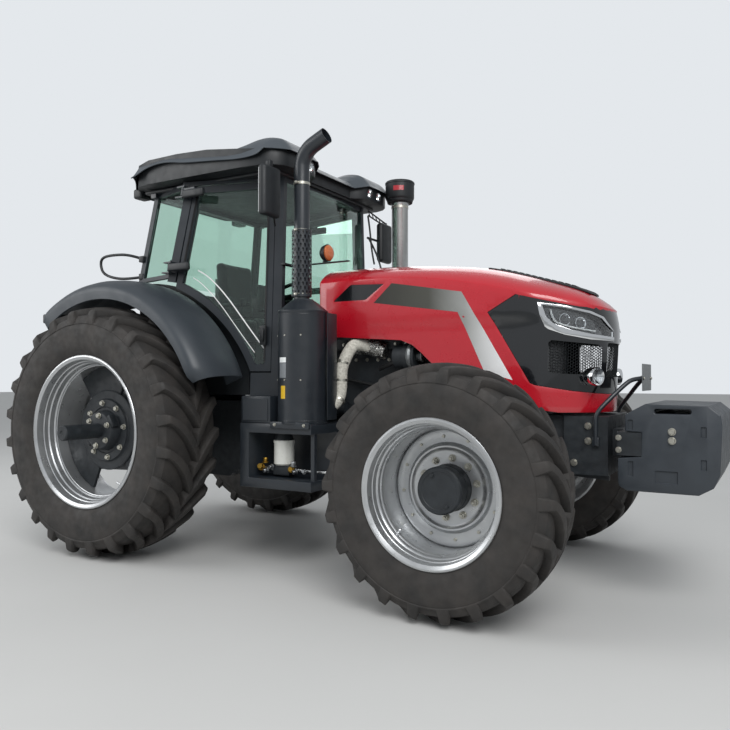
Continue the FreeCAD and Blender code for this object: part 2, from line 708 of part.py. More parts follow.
# Brackets on the engine's rear end that carry the hood's hinge pin
for name, y in (("right", "-Sizes.hood_hinge_half - 14"), ("left", "Sizes.hood_hinge_half")):
    bracket = DOC.addObject("Part::Box", "hood_bracket_" + name)
    bracket.Length = 40
    bracket.Width = 14
    bracket.setExpression("Height", "Sizes.hood_hinge_height + 20 - Sizes.engine_top")
    place(bracket, "Sizes.hood_hinge_x - 20", y, "Sizes.engine_top")
    engine_pieces.append(bracket)
hinge_pin = DOC.addObject("Part::Cylinder", "hood_hinge_pin")
hinge_pin.setExpression("Radius", "Sizes.hood_hinge_radius")
hinge_pin.setExpression("Height", "Sizes.hood_hinge_half * 2 + 28")
hinge_pin.Placement = FreeCAD.Placement(Vector(0, 0, 0), FreeCAD.Rotation(Vector(1, 0, 0), -90))
place(hinge_pin, "Sizes.hood_hinge_x", "-Sizes.hood_hinge_half - 14", "Sizes.hood_hinge_height")
engine_pieces.append(hinge_pin)
# What is bolted to the engine's sides, top, bottom and front. Boxes: name, x from, x to, y from, y to, z from, z to
engine_front = s.wheelbase - s.engine_setback
flank = s.engine_half_width
ENGINE_BOXES = (
    ("head_cover", s.engine_rear + 90, engine_front - 120, -130, 110, s.engine_top, s.engine_top + 105),
    ("exhaust_manifold", s.engine_rear + 150, engine_front - 180, -flank - 62, -flank, 1518, 1590),
    ("intake_manifold", s.engine_rear + 400, engine_front - 180, flank, flank + 72, 1490, 1600),
    ("oil_cooler", s.engine_rear + 250, engine_front - 350, flank, flank + 46, 1150, 1330),
    ("injection_pump", engine_front - 420, engine_front - 120, flank, flank + 110, 1190, 1390),
    ("sump", s.engine_rear + 200, engine_front - 170, -160, 160, s.engine_bottom - 110, s.engine_bottom),
)
for name, x_low, x_high, y_low, y_high, z_low, z_high in ENGINE_BOXES:
    form = DOC.addObject("Part::Box", name)
    form.Length = x_high - x_low
    form.Width = y_high - y_low
    form.Height = z_high - z_low
    form.Placement = FreeCAD.Placement(Vector(x_low, y_low, z_low), FreeCAD.Rotation())
    engine_pieces.append(form)
# Round ones: name, x from, x to, y, z, radius
ENGINE_ROUNDS = (
    ("turbine", engine_front - 415, engine_front - 335, -flank - 75, 1462, 84),
    ("compressor", engine_front - 335, engine_front - 250, -flank - 75, 1462, 96),
    ("starter", s.engine_rear + 30, s.engine_rear + 250, -flank - 30, 1085, 52),
    ("alternator", engine_front - 190, engine_front - 20, -flank - 45, 1330, 72),
    ("crank_pulley", engine_front - 5, engine_front + 42, 0, 1040, 105),
    ("fan_hub", engine_front - 5, engine_front + 70, 0, 1350, 62),
    ("fan", engine_front + 48, engine_front + 66, 0, 1350, 265),
)
for name, x_low, x_high, y, z, radius in ENGINE_ROUNDS:
    form = DOC.addObject("Part::Cylinder", name)
    form.Radius = radius
    form.Height = x_high - x_low
    form.Placement = FreeCAD.Placement(Vector(x_low, y, z), FreeCAD.Rotation(Vector(0, 1, 0), 90))
    engine_pieces.append(form)
engine = DOC.addObject("Part::MultiFuse", "engine_block")
engine.Shapes = engine_pieces
place(engine)
keep(engine, "engine_block")

radiator = DOC.addObject("Part::Box", "radiator")
radiator.Length = 150
radiator.Width = 680
radiator.setExpression("Height", "Sizes.engine_top - Sizes.frame_top + 120")
place(radiator, REAR_AXLE + " + Sizes.wheelbase + 160", "-340", "Sizes.frame_top")
keep(radiator, "radiator")


def transmission():
    half = s.gearbox_half_width
    low = s.gearbox_bottom
    high = s.gearbox_top
    cab_under = s.cab_floor_top - s.cab_floor_thick - s.soft_gap
    outline = [(-s.gearbox_rear, low + 90, 30), (-230, low, 30), (500, low, 30), (700, low + 110, 60), (s.engine_rear, low + 160),
               (s.engine_rear, high), (300, high), (260, cab_under), (-112, cab_under), (-112, high + 120),
               (-s.gearbox_rear, high + 120, 40)]
    shape = side_prism(outline, -half, half)
    axle_z_rear = s.rear_tyre_radius
    for side in (LEFT, RIGHT):
        tube = rod((0, side * (half - 20), axle_z_rear), (0, side * s.trumpet_half, axle_z_rear), s.trumpet_radius)
        drum = rod((0, side * (half - 20), axle_z_rear), (0, side * (half + 150), axle_z_rear), 215)
        shape = shape.fuse(tube).fuse(drum)
        bore = rod((0, side * (s.trumpet_half - 80), axle_z_rear), (0, side * (s.trumpet_half + 10), axle_z_rear),
                   s.bar_axle_radius + s.running_gap)
        shape = shape.cut(bore)
    cheek_x = -s.link_pivot_back
    for side in (LEFT, RIGHT):
        pin = rod((cheek_x, side * (half - 10), s.link_pivot_height), (cheek_x, side * (half + 78), s.link_pivot_height), 22)
        boss = block(cheek_x - 45, -200, side * half - 40, side * half + 40, s.link_pivot_height - 50,
                     s.link_pivot_height + 120)
        shape = shape.fuse(boss).fuse(pin)
    for y in (-45, 45):
        ear = block(-390, -280, y - 12, y + 12, 1010, 1110)
        shape = shape.fuse(ear)
    for y in (-150, 150):
        ear = block(-340, -230, y - 20, y + 20, s.rockshaft_height - 60, s.rockshaft_height + 60)
        shape = shape.fuse(ear)
    hanger = block(-360, -120, -80, 80, s.drawbar_height + s.drawbar_thick / 2, low + 60)
    shape = shape.fuse(hanger)
    journal_bore = s.pto_journal_radius + s.running_gap
    shape = shape.cut(rod((-s.gearbox_rear - 10, 0, s.pto_height), (-180, 0, s.pto_height), journal_bore))
    shape = shape.cut(rod((-290, -260, s.rockshaft_height), (-290, 260, s.rockshaft_height), 30 + s.running_gap))
    shape = shape.cut(rod((-350, -80, 1060), (-350, 80, 1060), 12.7 + s.running_gap))
    return shape.removeSplitter()


shaped("transmission", transmission())


def drawbar():
    half = s.drawbar_width / 2
    tip = -830
    outline = [(tip, -half, 40), (tip, half, 40), (-130, half), (-130, -half)]
    z = s.drawbar_height
    bar = plan_prism(outline, z - s.drawbar_thick / 2, z + s.drawbar_thick / 2)
    return bar.cut(rod((tip + 60, 0, z - 60), (tip + 60, 0, z + 60), s.drawbar_pin_radius))


shaped("drawbar", drawbar())


def pto_shaft():
    """Stub for the implement's shaft, a thinner neck, and the journal in the housing."""
    z = s.pto_height
    journal_end = -s.gearbox_rear - 2
    neck_end = journal_end - 8
    stub = rod((neck_end - s.pto_length, 0, z), (neck_end, 0, z), s.pto_radius)
    neck = rod((neck_end, 0, z), (journal_end, 0, z), s.pto_radius - 3)
    journal = rod((journal_end, 0, z), (-190, 0, z), s.pto_journal_radius)
    return joined(stub, neck, journal)


shaped("pto_shaft", pto_shaft())


# Three-point linkage

link_pin = Vector(-s.link_pivot_back, 0, s.link_pivot_height)
link_tip = Vector(-s.rear_overhang + 42, 0, s.link_pivot_height - 20)
arm_pin = Vector(-290, 0, s.rockshaft_height)
arm_tip = Vector(-290 - s.lift_arm_length, 0, s.rockshaft_height - 30)
rod_low = Vector(-870, 0, s.link_pivot_height + 8)


def lower_links():
    """Two links bent outwards: straight at the pivot, splayed, straight at the eye."""
    near = s.gearbox_half_width + 40 + s.link_thick / 2 + 6
    far = s.link_spacing / 2
    half = s.link_thick / 2
    plan = [(link_pin.x + 50, near - half), (link_pin.x + 50, near + half), (link_pin.x - 60, near + half, 60),
            (link_tip.x + 150, far + half, 60), (link_tip.x - 42, far + half), (link_tip.x - 42, far - half),
            (link_tip.x + 150, far - half, 60), (link_pin.x - 60, near - half, 60)]
    depth = s.link_depth / 2
    side_view = [(link_pin.x + 46, link_pin.z + depth, 44), (link_tip.x - 42, link_tip.z + 42, 41),
                 (link_tip.x - 42, link_tip.z - 42, 41), (link_pin.x + 46, link_pin.z - depth, 44)]
    shape = plan_prism(plan, 400, 800).common(side_prism(side_view, 0, 900))
    shape = shape.cut(rod((link_pin.x, 100, link_pin.z), (link_pin.x, 900, link_pin.z), 22 + s.running_gap))
    shape = shape.cut(rod((link_tip.x, 100, link_tip.z), (link_tip.x, 900, link_tip.z), s.link_eye_radius))
    return Part.makeCompound([shape, mirrored(shape)])


def lift_arms():
    """Rockshaft with one arm each side."""
    shape = rod((arm_pin.x, -400, arm_pin.z), (arm_pin.x, 400, arm_pin.z), 30)
    for side in (LEFT, RIGHT):
        y = side * 375
        outline = [(arm_pin.x + 60, arm_pin.z + 60, 40), (arm_tip.x - 38, arm_tip.z + 38, 28),
                   (arm_tip.x - 38, arm_tip.z - 38, 28), (arm_pin.x + 60, arm_pin.z - 60, 40)]
        arm = side_prism(outline, y - 18, y + 18)
        pin = rod((arm_tip.x, y - 18, arm_tip.z), (arm_tip.x, y + side * 62, arm_tip.z), 14)
        shape = shape.fuse(arm).fuse(pin)
    return shape.removeSplitter()


def lift_rods():
    """Screwed lift rods from the arms' pins down beside the lower links."""
    solids = []
    for side in (LEFT, RIGHT):
        y = side * (375 + 18 + 24)
        top = Vector(arm_tip.x, y, arm_tip.z)
        foot = Vector(rod_low.x, y, rod_low.z + 150)
        shaft = rod(top, foot, 17)
        sleeve = rod(top + (foot - top) * 0.35, top + (foot - top) * 0.75, 26)
        head = rod((top.x, y - 16, top.z), (top.x, y + 16, top.z), 34)
        fork = block(foot.x - 22, foot.x + 22, y - 16, y + 16, foot.z - 30, foot.z + 10)
        shape = joined(shaft, sleeve, head, fork)
        shape = shape.cut(rod((top.x, y - 60, top.z), (top.x, y + 60, top.z), 14 + s.running_gap))
        solids.append(shape)
    return Part.makeCompound(solids)


def top_link():
    """Turnbuckle top link, its front ball pinned between the upper ears, stowed upright."""
    start = Vector(-350, 0, 1060)
    tip = start + Vector(-s.top_link_lean, 0, s.top_link_rise)
    run = tip - start
    shape = rod(start, tip, 16)
    shape = shape.fuse(rod(start + run * 0.22, start + run * 0.78, 27))
    shape = shape.fuse(rod((start.x, -25, start.z), (start.x, 25, start.z), 32))
    shape = shape.fuse(rod((tip.x, -25, tip.z), (tip.x, 25, tip.z), 34))
    shape = shape.fuse(rod((start.x, -57, start.z), (start.x, 57, start.z), 12.7))
    shape = shape.cut(rod((tip.x, -40, tip.z), (tip.x, 40, tip.z), s.top_link_eye_radius))
    return shape.removeSplitter()


shaped("lower_links", lower_links())
shaped("lift_arms", lift_arms())
shaped("lift_rods", lift_rods())
shaped("top_link", top_link())


# Hood

# Hood sections: x, height of the side's shoulder, height of the crown, half width
HOOD_SECTIONS = (
    (s.hood_rear - 10, 1996, s.hood_top, s.hood_half_width),
    (hood_front - 1370, 1990, s.hood_top - 12, s.hood_half_width),
    (hood_front - 770, 1905, s.hood_top - 78, s.hood_half_width),
    (hood_front - 320, 1803, s.hood_top - 212, s.hood_half_width - 20),
    (hood_front + 60, 1720, s.hood_top - 330, s.hood_half_width - 70),
)


def hood_form(inset):
    """The hood's outer form, or its inner form when inset by the wall."""
    wires = []
    for x, shoulder, crown, half in HOOD_SECTIONS:
        w = half - inset
        low = s.hood_bottom - 100
        left = Vector(x, w, shoulder - inset)
        right = Vector(x, -w, shoulder - inset)
        arc = Part.Arc(left, Vector(x, 0, crown - inset), right).toShape()
        side_r = Part.LineSegment(right, Vector(x, -w, low)).toShape()
        base = Part.LineSegment(Vector(x, -w, low), Vector(x, w, low)).toShape()
        side_l = Part.LineSegment(Vector(x, w, low), left).toShape()
        wires.append(Part.Wire([arc, side_r, base, side_l]))
    form = Part.makeLoft(wires, True, True)
    nose = hood_front - inset
    half = s.hood_half_width + 40
    plan = [(s.hood_rear, -half), (s.hood_rear, half), (hood_front - 510, half), (hood_front - 400, half - 55, 160),
            (nose - 70, 255 - inset, 150), (nose, 0, 500), (nose - 70, -255 + inset, 150),
            (hood_front - 400, -half + 55, 160), (hood_front - 510, -half)]
    form = form.common(plan_prism(plan, 900, 2300))
    top = 1760 - inset
    side = [(s.hood_rear - 20, 900), (s.hood_rear - 20, 2300), (hood_front - 920, 2300), (nose - 130, 1890 - inset),
            (nose - 55, top + 40, 40), (nose - 12, 1600, 200), (nose - 40, 900)]
    return form.common(side_prism(side, -600, 600))


hood_outer = hood_form(0)
hood_inner = hood_form(s.hood_wall)
hood_skin = hood_outer.cut(hood_inner)
# Lower edge of the hood's side in side view, rising to the rear over the engine bay
HOOD_EDGE = [(s.hood_rear - 60, 900), (s.hood_rear - 60, 1612), (pin_x - 609, 1568), (pin_x - 454, 1486, 40),
             (pin_x - 304, 1360, 60), (pin_x + 296, 1140, 60), (pin_x + 416, s.hood_bottom),
             (hood_front + 180, s.hood_bottom), (hood_front + 180, 900)]
hood_skin = hood_skin.cut(side_prism(HOOD_EDGE, -700, 700))
MASK_EDGE = [(hood_front - 723, 1728), (hood_front - 515, 1851, 20), (hood_front - 220, 1815),
             (hood_front + 180, 1770), (hood_front + 180, 1216), (hood_front - 220, 1240), (hood_front - 448, 1277, 20)]
mask_prism = side_prism(MASK_EDGE, -700, 700)
# The mask ends below the top panel's front edge
hinge = Vector(s.hood_hinge_x, 0, s.hood_hinge_height)
tube_half = s.hood_hinge_half - 5
hinge_tube = rod((hinge.x, -tube_half, hinge.z), (hinge.x, tube_half, hinge.z), s.hood_hinge_radius + 9)
hinge_strap = block(hinge.x - 10, hinge.x + 30, 30 - tube_half, tube_half - 30, hinge.z, hinge.z + 140)
hinge_strap = hinge_strap.common(hood_outer)
hinge_bore = rod((hinge.x, -200, hinge.z), (hinge.x, 200, hinge.z), s.hood_hinge_radius + s.running_gap)
hood_plate = hood_skin.cut(mask_prism)
shaped("hood_shell", joined(hood_plate, hinge_tube, hinge_strap).cut(hinge_bore))

LAMP_EDGE = [(hood_front - 412, 1777), (hood_front - 124, 1722), (hood_front + 40, 1660), (hood_front + 40, 1545),
             (hood_front - 80, 1545), (hood_front - 345, 1608)]
LAMP_INNER = 120
lamp_reach = s.hood_half_width + 50
lamp_zone = side_prism(LAMP_EDGE, LAMP_INNER, lamp_reach).fuse(side_prism(LAMP_EDGE, -lamp_reach, -LAMP_INNER))
# Grille slots through the mask, at both sides and across the nose: x from, x to, y from, y to, z from, z to
GRILLE = ((hood_front - 350, hood_front - 80, 200, 600, 1352, 1520),
          (hood_front - 350, hood_front - 80, -600, -200, 1352, 1520),
          (hood_front - 160, hood_front + 100, -170, 170, 1300, 1530))
GRILLE_SLOT = 22
GRILLE_PITCH = 34


def nose_mask():
    shape = hood_skin.common(mask_prism).cut(lamp_zone)
    for x_low, x_high, y_low, y_high, z_low, z_high in GRILLE:
        for index in range(int((z_high - z_low) / GRILLE_PITCH)):
            z = z_low + index * GRILLE_PITCH
            shape = shape.cut(block(x_low, x_high, y_low, y_high, z, z + GRILLE_SLOT))
    return shape


def front_lamps():
    """Headlamps set into the mask, and a round spot lamp on its face below each."""
    shape = hood_outer.common(lamp_zone).cut(hood_form(60))
    spots = [rod((hood_front - 190, side * 300, 1312), (hood_front - 40, side * 330, 1304), 46) for side in (1, -1)]
    return Part.makeCompound(shape.Solids + [spot.cut(hood_outer) for spot in spots])


shaped("nose_mask", nose_mask())
shaped("front_lamps", front_lamps())


# Cab

door_low = Vector(422, s.cab_shoulder, 2030)
door_high = Vector(556, s.cab_shoulder - 66, 2790)
door_front = Vector(1262, s.cab_tub_half_width - 8, 1362)


def slab(point_a, point_b, point_c, outside, inside):
    """A thick plate through three points; offsets are measured outwards along its normal."""
    normal = (point_b - point_a).cross(point_c - point_a).normalize()
    if normal.y < 0:
        normal = normal * -1
    plate = Part.makePlane(6000, 6000, Vector(-3000, -3000, 0), Vector(0, 0, 1))
    plate.Placement = FreeCAD.Placement(point_a + normal * inside, FreeCAD.Rotation(Vector(0, 0, 1), normal))
    return plate.extrude(normal * (outside - inside))


def fender_arc(radius, x):
    return s.rear_tyre_radius + sqrt(radius * radius - x * x)


door_arc = s.fender_radius + s.door_gap + s.fender_wall
door_top = s.cab_roof_line - s.door_rise_gap
LEAN = (door_high.x - door_low.x) / (door_high.z - door_low.z)


def door_points(inset):
    """Door in side view: rear edge leaning with the pillar, then round the fender."""
    rear_low_x = 470 + inset
    rear_high_x = rear_low_x + LEAN * (door_top - inset - door_low.z)
    low = s.door_bottom + inset
    front = 1232 - inset
    radius = door_arc + inset
    arc_low_x = sqrt(radius ** 2 - (low - s.rear_tyre_radius) ** 2)
    arc_high_z = fender_arc(radius, rear_low_x)
    middle = (rear_low_x + arc_low_x) / 2 + 60
    head = Vector(rear_high_x, door_top - inset, 0)
    return [
        Part.LineSegment(head, Vector(front, door_top - inset, 0)),
        Part.LineSegment(Vector(front, door_top - inset, 0), Vector(front, low, 0)),
        Part.LineSegment(Vector(front, low, 0), Vector(arc_low_x, low, 0)),
        Part.Arc(Vector(arc_low_x, low, 0), Vector(middle, fender_arc(radius, middle), 0),
                 Vector(rear_low_x, arc_high_z, 0)),
        Part.LineSegment(Vector(rear_low_x, arc_high_z, 0), head),
    ]


def door_prism(inset):
    face = side_face(door_points(inset))
    face.translate(Vector(0, 300, 0))
    return face.extrude(Vector(0, 900, 0))


door_slab = slab(door_low, door_high, door_front, 0, -s.cab_wall)
glass_slab = slab(door_low, door_high, door_front, -12, -12 - s.glass_thick)
door_frame_shape = door_slab.common(door_prism(0)).cut(door_prism(52))
door_glass_shape = glass_slab.common(door_prism(52))
hinge_low = Vector(452, 0, 2139)
hinge_high = Vector(540, 0, 2705)


def on_door(point, out):
    """The point of the door's outer face at this x and z, moved outwards."""
    normal = (door_high - door_low).cross(door_front - door_low).normalize()
    if normal.y < 0:
        normal = normal * -1
    y = door_low.y - (normal.x * (point.x - door_low.x) + normal.z * (point.z - door_low.z)) / normal.y
    return Vector(point.x, y + out, point.z)


HINGE_OUT = 45
axis_low = on_door(hinge_low, HINGE_OUT)
axis_high = on_door(hinge_high, HINGE_OUT)
axis_line = (axis_high - axis_low).normalize()
print("door axis point", [round(v, 2) for v in (axis_low.x + rear_x, axis_low.y, axis_low.z)],
      "direction", [round(v, 5) for v in axis_line])

hinge_arms = None
for point in (axis_low, axis_high):
    barrel = Part.makeCylinder(16, 60, point - axis_line * 30, axis_line)
    arm = block(point.x - 4, point.x + 120, point.y - HINGE_OUT - 30, point.y + 8, point.z - 22, point.z + 22)
    one = barrel.fuse(arm)
    hinge_arms = one if hinge_arms is None else hinge_arms.fuse(one)
bores = [Part.makeCylinder(7 + s.running_gap, 200, point - axis_line * 100, axis_line)
         for point in (axis_low, axis_high)]
post_zone = side_prism([(300, 1900), (470 - 130 * LEAN, 1900), (470 + 870 * LEAN, 2900), (300, 2900)], 300, 1300)
post_zone = post_zone.common(slab(door_low, door_high, door_front, 6, -200))
hinge_arms = hinge_arms.common(slab(door_low, door_high, door_front, 80, -8)).cut(post_zone)
door_frame_shape = door_frame_shape.fuse(hinge_arms)
for bore in bores:
    door_frame_shape = door_frame_shape.cut(bore)
door_frame_shape = door_frame_shape.removeSplitter()

for name, side in SIDES:
    frame = door_frame_shape if side == LEFT else mirrored(door_frame_shape)
    pane = door_glass_shape if side == LEFT else mirrored(door_glass_shape)
    shaped("door_frame_" + name, frame)
    shaped("door_glass_" + name, pane)


def cab_frame():
    """Pillars, roof ring and sills of one side; the other side mirrors it."""
    wall = s.cab_wall
    front_slab = slab(door_low, door_high, door_front, 0, -wall)
    around = side_prism([(1236, 1180), (1236, 2790), (1296, 2790), (1306, 1180)], 300, 1300)
    front_post = front_slab.common(around)
    middle_post = front_slab.common(side_prism(
        [(400, 2040), (400 + LEAN * 750, 2790), (464 + LEAN * 760, 2790), (464, 2030)], 300, 1300))
    head_rail = front_slab.common(side_prism(
        [(500, door_top + 8), (500, 2790), (1300, 2790), (1300, door_top + 8)], 300, 1300))
    sill = front_slab.common(side_prism(
        [(1082, 1180), (1082, s.door_bottom - 10), (1300, s.door_bottom - 10), (1300, 1180)], 300, 1300))
    rear_slab = slab(door_low, door_high, Vector(-20, s.cab_shoulder - 110, 2055), 0, -wall)
    rear_post = rear_slab.common(side_prism([(-40, 2075), (76, 2790), (136, 2790), (24, 2075)], 300, 1300))
    rear_head = rear_slab.common(side_prism([(70, 2740), (76, 2790), (560, 2790), (550, 2740)], 300, 1300))
    rear_foot = rear_slab.common(side_prism([(-40, 2069), (-34, 2100), (440, 2100), (430, 2069)], 300, 1300))
    side_parts = [front_post, middle_post, head_rail, sill, rear_post, rear_head, rear_foot]
    pins = [Part.makeCylinder(7, 110, point - axis_line * 55, axis_line) for point in (axis_low, axis_high)]
    leaves = []
    for point in (axis_low, axis_high):
        for shift in (-44, 34):
            foot = point + axis_line * shift
            leaf = block(foot.x - 62, foot.x + 12, foot.y - HINGE_OUT - 20, foot.y + 12, foot.z, foot.z + 10)
            leaves.append(leaf)
    left = joined(*(side_parts + leaves + pins))
    between = slab(door_low, door_high, door_front, -2, -2000)
    between = between.common(mirrored(between))
    front_rail = block(1238, 1290, -600, 600, 2735, 2790).common(between)
    rear_rail = block(80, 130, -690, 690, 2740, 2790)
    return joined(left, mirrored(left), front_rail, rear_rail)


shaped("cab_frame", cab_frame())


def cab_tub():
    """Floor, lower side walls, shelves over the tyres and rear wall of the cab."""
    wall = s.cab_wall
    half = s.cab_tub_half_width
    floor_top = s.cab_floor_top
    under = floor_top - s.cab_floor_thick
    floor = block(-60, 1300, -half + wall, half - wall, under, floor_top)
    radius = s.fender_radius
    outline = [
        Part.LineSegment(Vector(-60, under, 0), Vector(-60, fender_arc(radius, -60), 0)),
        Part.Arc(Vector(-60, fender_arc(radius, -60), 0), Vector(600, fender_arc(radius, 600), 0),
                 Vector(1040, fender_arc(radius, 1040), 0)),
        Part.LineSegment(Vector(1040, fender_arc(radius, 1040), 0), Vector(1040, under, 0)),
        Part.LineSegment(Vector(1040, under, 0), Vector(-60, under, 0)),
    ]
    face = side_face(outline)
    face.translate(Vector(0, half - wall, 0))
    side_wall = face.extrude(Vector(0, wall, 0))
    back = block(-60 - wall, -60, -half, half, under, 2050)
    dash_wall = block(1300 - wall, 1300, -half + wall + 20, half - wall - 20, floor_top, 1700)
    between = slab(door_low, door_high, door_front, -wall - s.soft_gap, -2000)
    return joined(floor, side_wall, mirrored(side_wall), back, dash_wall).common(between).common(mirrored(between))


shaped("cab_tub", cab_tub())


def cab_roof():
    half = s.roof_half_width
    rear = s.roof_rear
    front = s.roof_front
    under = s.cab_roof_line
    top = s.roof_top
    plan = [(rear, -540, 60), (rear + 110, -740, 60), (500, -half, 300), (1330, -half + 130, 60), (1460, -620, 60),
            (front, -300, 60), (front, 300, 60), (1460, 620, 60), (1330, half - 130, 60), (500, half, 300),
            (rear + 110, 740, 60), (rear, 540, 60)]
    profile = [(rear, under + 60, 20), (rear + 30, under + 130, 40), (rear + 330, top - 10, 300),
               (front - 560, top - 14, 300), (front - 200, top - 120, 200), (front - 70, top - 158, 60),
               (front - 20, under + 10), (1270, under), (rear + 60, under)]
    section = [(-half, under - 20), (-half, under + 80, 50), (-half + 110, top - 40, 60), (0, top + 20, 3000),
               (half - 110, top - 40, 60), (half, under + 80, 50), (half, under - 20)]
    form = plan_prism(plan, under - 20, top + 60)
    form = form.common(side_prism(profile, -half - 50, half + 50))
    form = form.common(front_prism(section, rear - 50, front + 50))
    hump = [(front - 620, under + 40), (front - 560, top - 60, 60), (front - 300, top, 160), (front - 110, top - 34, 90),
            (front - 40, top - 110, 40), (front - 30, under + 8), (front - 290, under + 2)]
    for side in (LEFT, RIGHT):
        y_low = side * 605 - 165
        lump = side_prism(hump, y_low, y_low + 330).common(plan_prism(plan, under - 20, top + 60))
        across = [(y_low, under), (y_low + 10, top - 90, 60), (y_low + 110, top + 4, 90), (y_low + 220, top + 4, 90),
                  (y_low + 320, top - 90, 60), (y_low + 330, under)]
        form = form.fuse(lump.common(front_prism(across, rear, front + 50)))
    return form.removeSplitter()


shaped("cab_roof", cab_roof())


def cab_glass():
    """Windscreen, rear window and both quarter windows."""
    glass = s.glass_thick
    bow = [
        Part.Arc(Vector(1256, -600, 0), Vector(1330, 0, 0), Vector(1256, 600, 0)),
        Part.LineSegment(Vector(1256, 600, 0), Vector(1256 + glass, 600, 0)),
        Part.Arc(Vector(1256 + glass, 600, 0), Vector(1330 + glass, 0, 0), Vector(1256 + glass, -600, 0)),
        Part.LineSegment(Vector(1256 + glass, -600, 0), Vector(1256, -600, 0)),
    ]
    screen = Part.Face(wire(bow))
    screen.translate(Vector(0, 0, 1702))
    screen = screen.extrude(Vector(0, 0, 2733 - 1702))
    between = slab(door_low, door_high, door_front, -s.cab_wall - s.soft_gap, -2000)
    screen = screen.common(between).common(mirrored(between))
    rear = block(0, glass, -720, 720, 0, 664)
    rear.rotate(Vector(0, 0, 0), Vector(0, 1, 0), degrees(atan2(116, 735)))
    rear.translate(Vector(-20, 0, 2082))
    rear_low = Vector(-20, s.cab_shoulder - 110, 2055)
    between = slab(door_low, door_high, rear_low, -s.cab_wall - s.soft_gap, -2000)
    rear = rear.common(between).common(mirrored(between))
    rear_slab = slab(door_low, door_high, rear_low, -12, -12 - glass)
    quarter = rear_slab.common(side_prism([(29, 2102), (128, 2738), (500, 2738), (392, 2102)], 300, 1300))
    return Part.makeCompound([screen, rear, quarter, mirrored(quarter)])


shaped("cab_glass", cab_glass())


# Rear fenders

FENDER_FRONT_ANGLE = 69
FENDER_REAR_ANGLE = -38


def fenders():
    solids = []
    inner = s.cab_tub_half_width + s.soft_gap
    knee = s.cab_shoulder - 90
    outer = s.fender_outer
    top = s.fender_radius
    wall = s.fender_wall
    drop = s.fender_drop
    outline = [(inner, top - wall), (inner, top), (knee, top), (outer - 8, top - drop), (outer, top - drop - 8, 6),
               (outer, top - drop - s.fender_lip), (outer - wall, top - drop - s.fender_lip), (outer - wall, top - drop - wall),
               (knee, top - wall)]
    face = Part.Face(wire(corners(outline)))
    turn = FreeCAD.Rotation(Vector(0, 1, 0), Vector(0, 0, 1), Vector(1, 0, 0), "ZXY")
    face.Placement = FreeCAD.Placement(Vector(0, 0, 0), turn)
    face.rotate(Vector(0, 0, 0), Vector(0, 1, 0), FENDER_REAR_ANGLE)
    shell = face.revolve(Vector(0, 0, 0), Vector(0, 1, 0), FENDER_FRONT_ANGLE - FENDER_REAR_ANGLE)
    shell.translate(Vector(0, 0, s.rear_tyre_radius))
    return Part.makeCompound([shell, mirrored(shell)])


shaped("rear_fenders", fenders())


# Inside the cab

seat_x = 300
seat_z = s.cab_floor_top + 420
half_seat = s.seat_width / 2


def seat_base():
    floor = s.cab_floor_top
    bellows = block(seat_x + 90, seat_x + 400, -150, 150, floor, seat_z - 60)
    pan = block(seat_x + 20, seat_x + 470, -half_seat + 20, half_seat - 20, seat_z - 60, seat_z)
    spine = block(seat_x - 40, seat_x + 20, -140, 140, seat_z - 60, seat_z + 480)
    return joined(bellows, pan, spine)


shaped("seat_base", seat_base())


def seat_cushions():
    gap = s.soft_gap
    pad = block(seat_x + 20 + gap, seat_x + 480, -half_seat, half_seat, seat_z + gap, seat_z + 110)
    rest = side_prism([(seat_x + 20 + gap, seat_z + 112), (seat_x + 20 + gap, seat_z + 640, 30),
                       (seat_x + 110, seat_z + 640, 40), (seat_x + 130, seat_z + 112)], -half_seat + 15, half_seat - 15)
    return Part.makeCompound([pad, rest])


shaped("seat_cushions", seat_cushions())

WHEEL_TILT = 32
column_head = Vector(905, 0, s.cab_floor_top + 720)
column_line = Vector(-sin(radians(WHEEL_TILT)), 0, cos(radians(WHEEL_TILT)))


def steering_column():
    floor = s.cab_floor_top
    outline = [(1100, floor), (1150, floor + 480, 60), (1040, floor + 700, 40), (980, floor + 660, 20), (930, floor)]
    cowl = side_prism(outline, -110, 110)
    foot = column_head - column_line * 160
    tube = rod(foot, column_head, 28)
    shape = joined(cowl, tube)
    return shape.cut(Part.makeCylinder(9 + s.running_gap, 90, column_head - column_line * 60, column_line))


shaped("steering_column", steering_column())


def steering_wheel():
    centre = column_head + column_line * 36
    rim = Part.makeTorus(s.steering_wheel_radius - 14, 14)
    spokes = block(-s.steering_wheel_radius + 20, 0, -16, 16, -10, 2)
    hub = Part.makeCylinder(48, 30, Vector(0, 0, -22))
    stub = Part.makeCylinder(9, 80, Vector(0, 0, -80))
    shape = rim.fuse(hub).fuse(stub)
    for turn in (90, 210, 330):
        spoke = spokes.copy()
        spoke.rotate(Vector(0, 0, 0), Vector(0, 0, 1), turn)
        shape = shape.fuse(spoke)
    shape.Placement = FreeCAD.Placement(centre, FreeCAD.Rotation(Vector(0, 0, 1), column_line))
    return shape.removeSplitter()


shaped("steering_wheel", steering_wheel())
print("steering wheel centre", [round(v, 2) for v in (column_head.x + rear_x, 0, column_head.z)])


# Exhaust and intake

def muffler():
    radius = s.muffler_radius
    pipe = s.exhaust_shield_radius
    outline = [(0, s.muffler_bottom), (radius, s.muffler_bottom), (radius, s.muffler_top), (pipe, s.muffler_top + 90),
               (0, s.muffler_top + 90)]
    body = turned_body("muffler", "XZ_Plane", [corners(outline)], "V_Axis")
    place(body, REAR_AXLE + " + Sizes.stack_x", "-Sizes.exhaust_y")
    return keep(body, "muffler")


muffler()

STACK_BEND = 180
STACK_TURN = 56


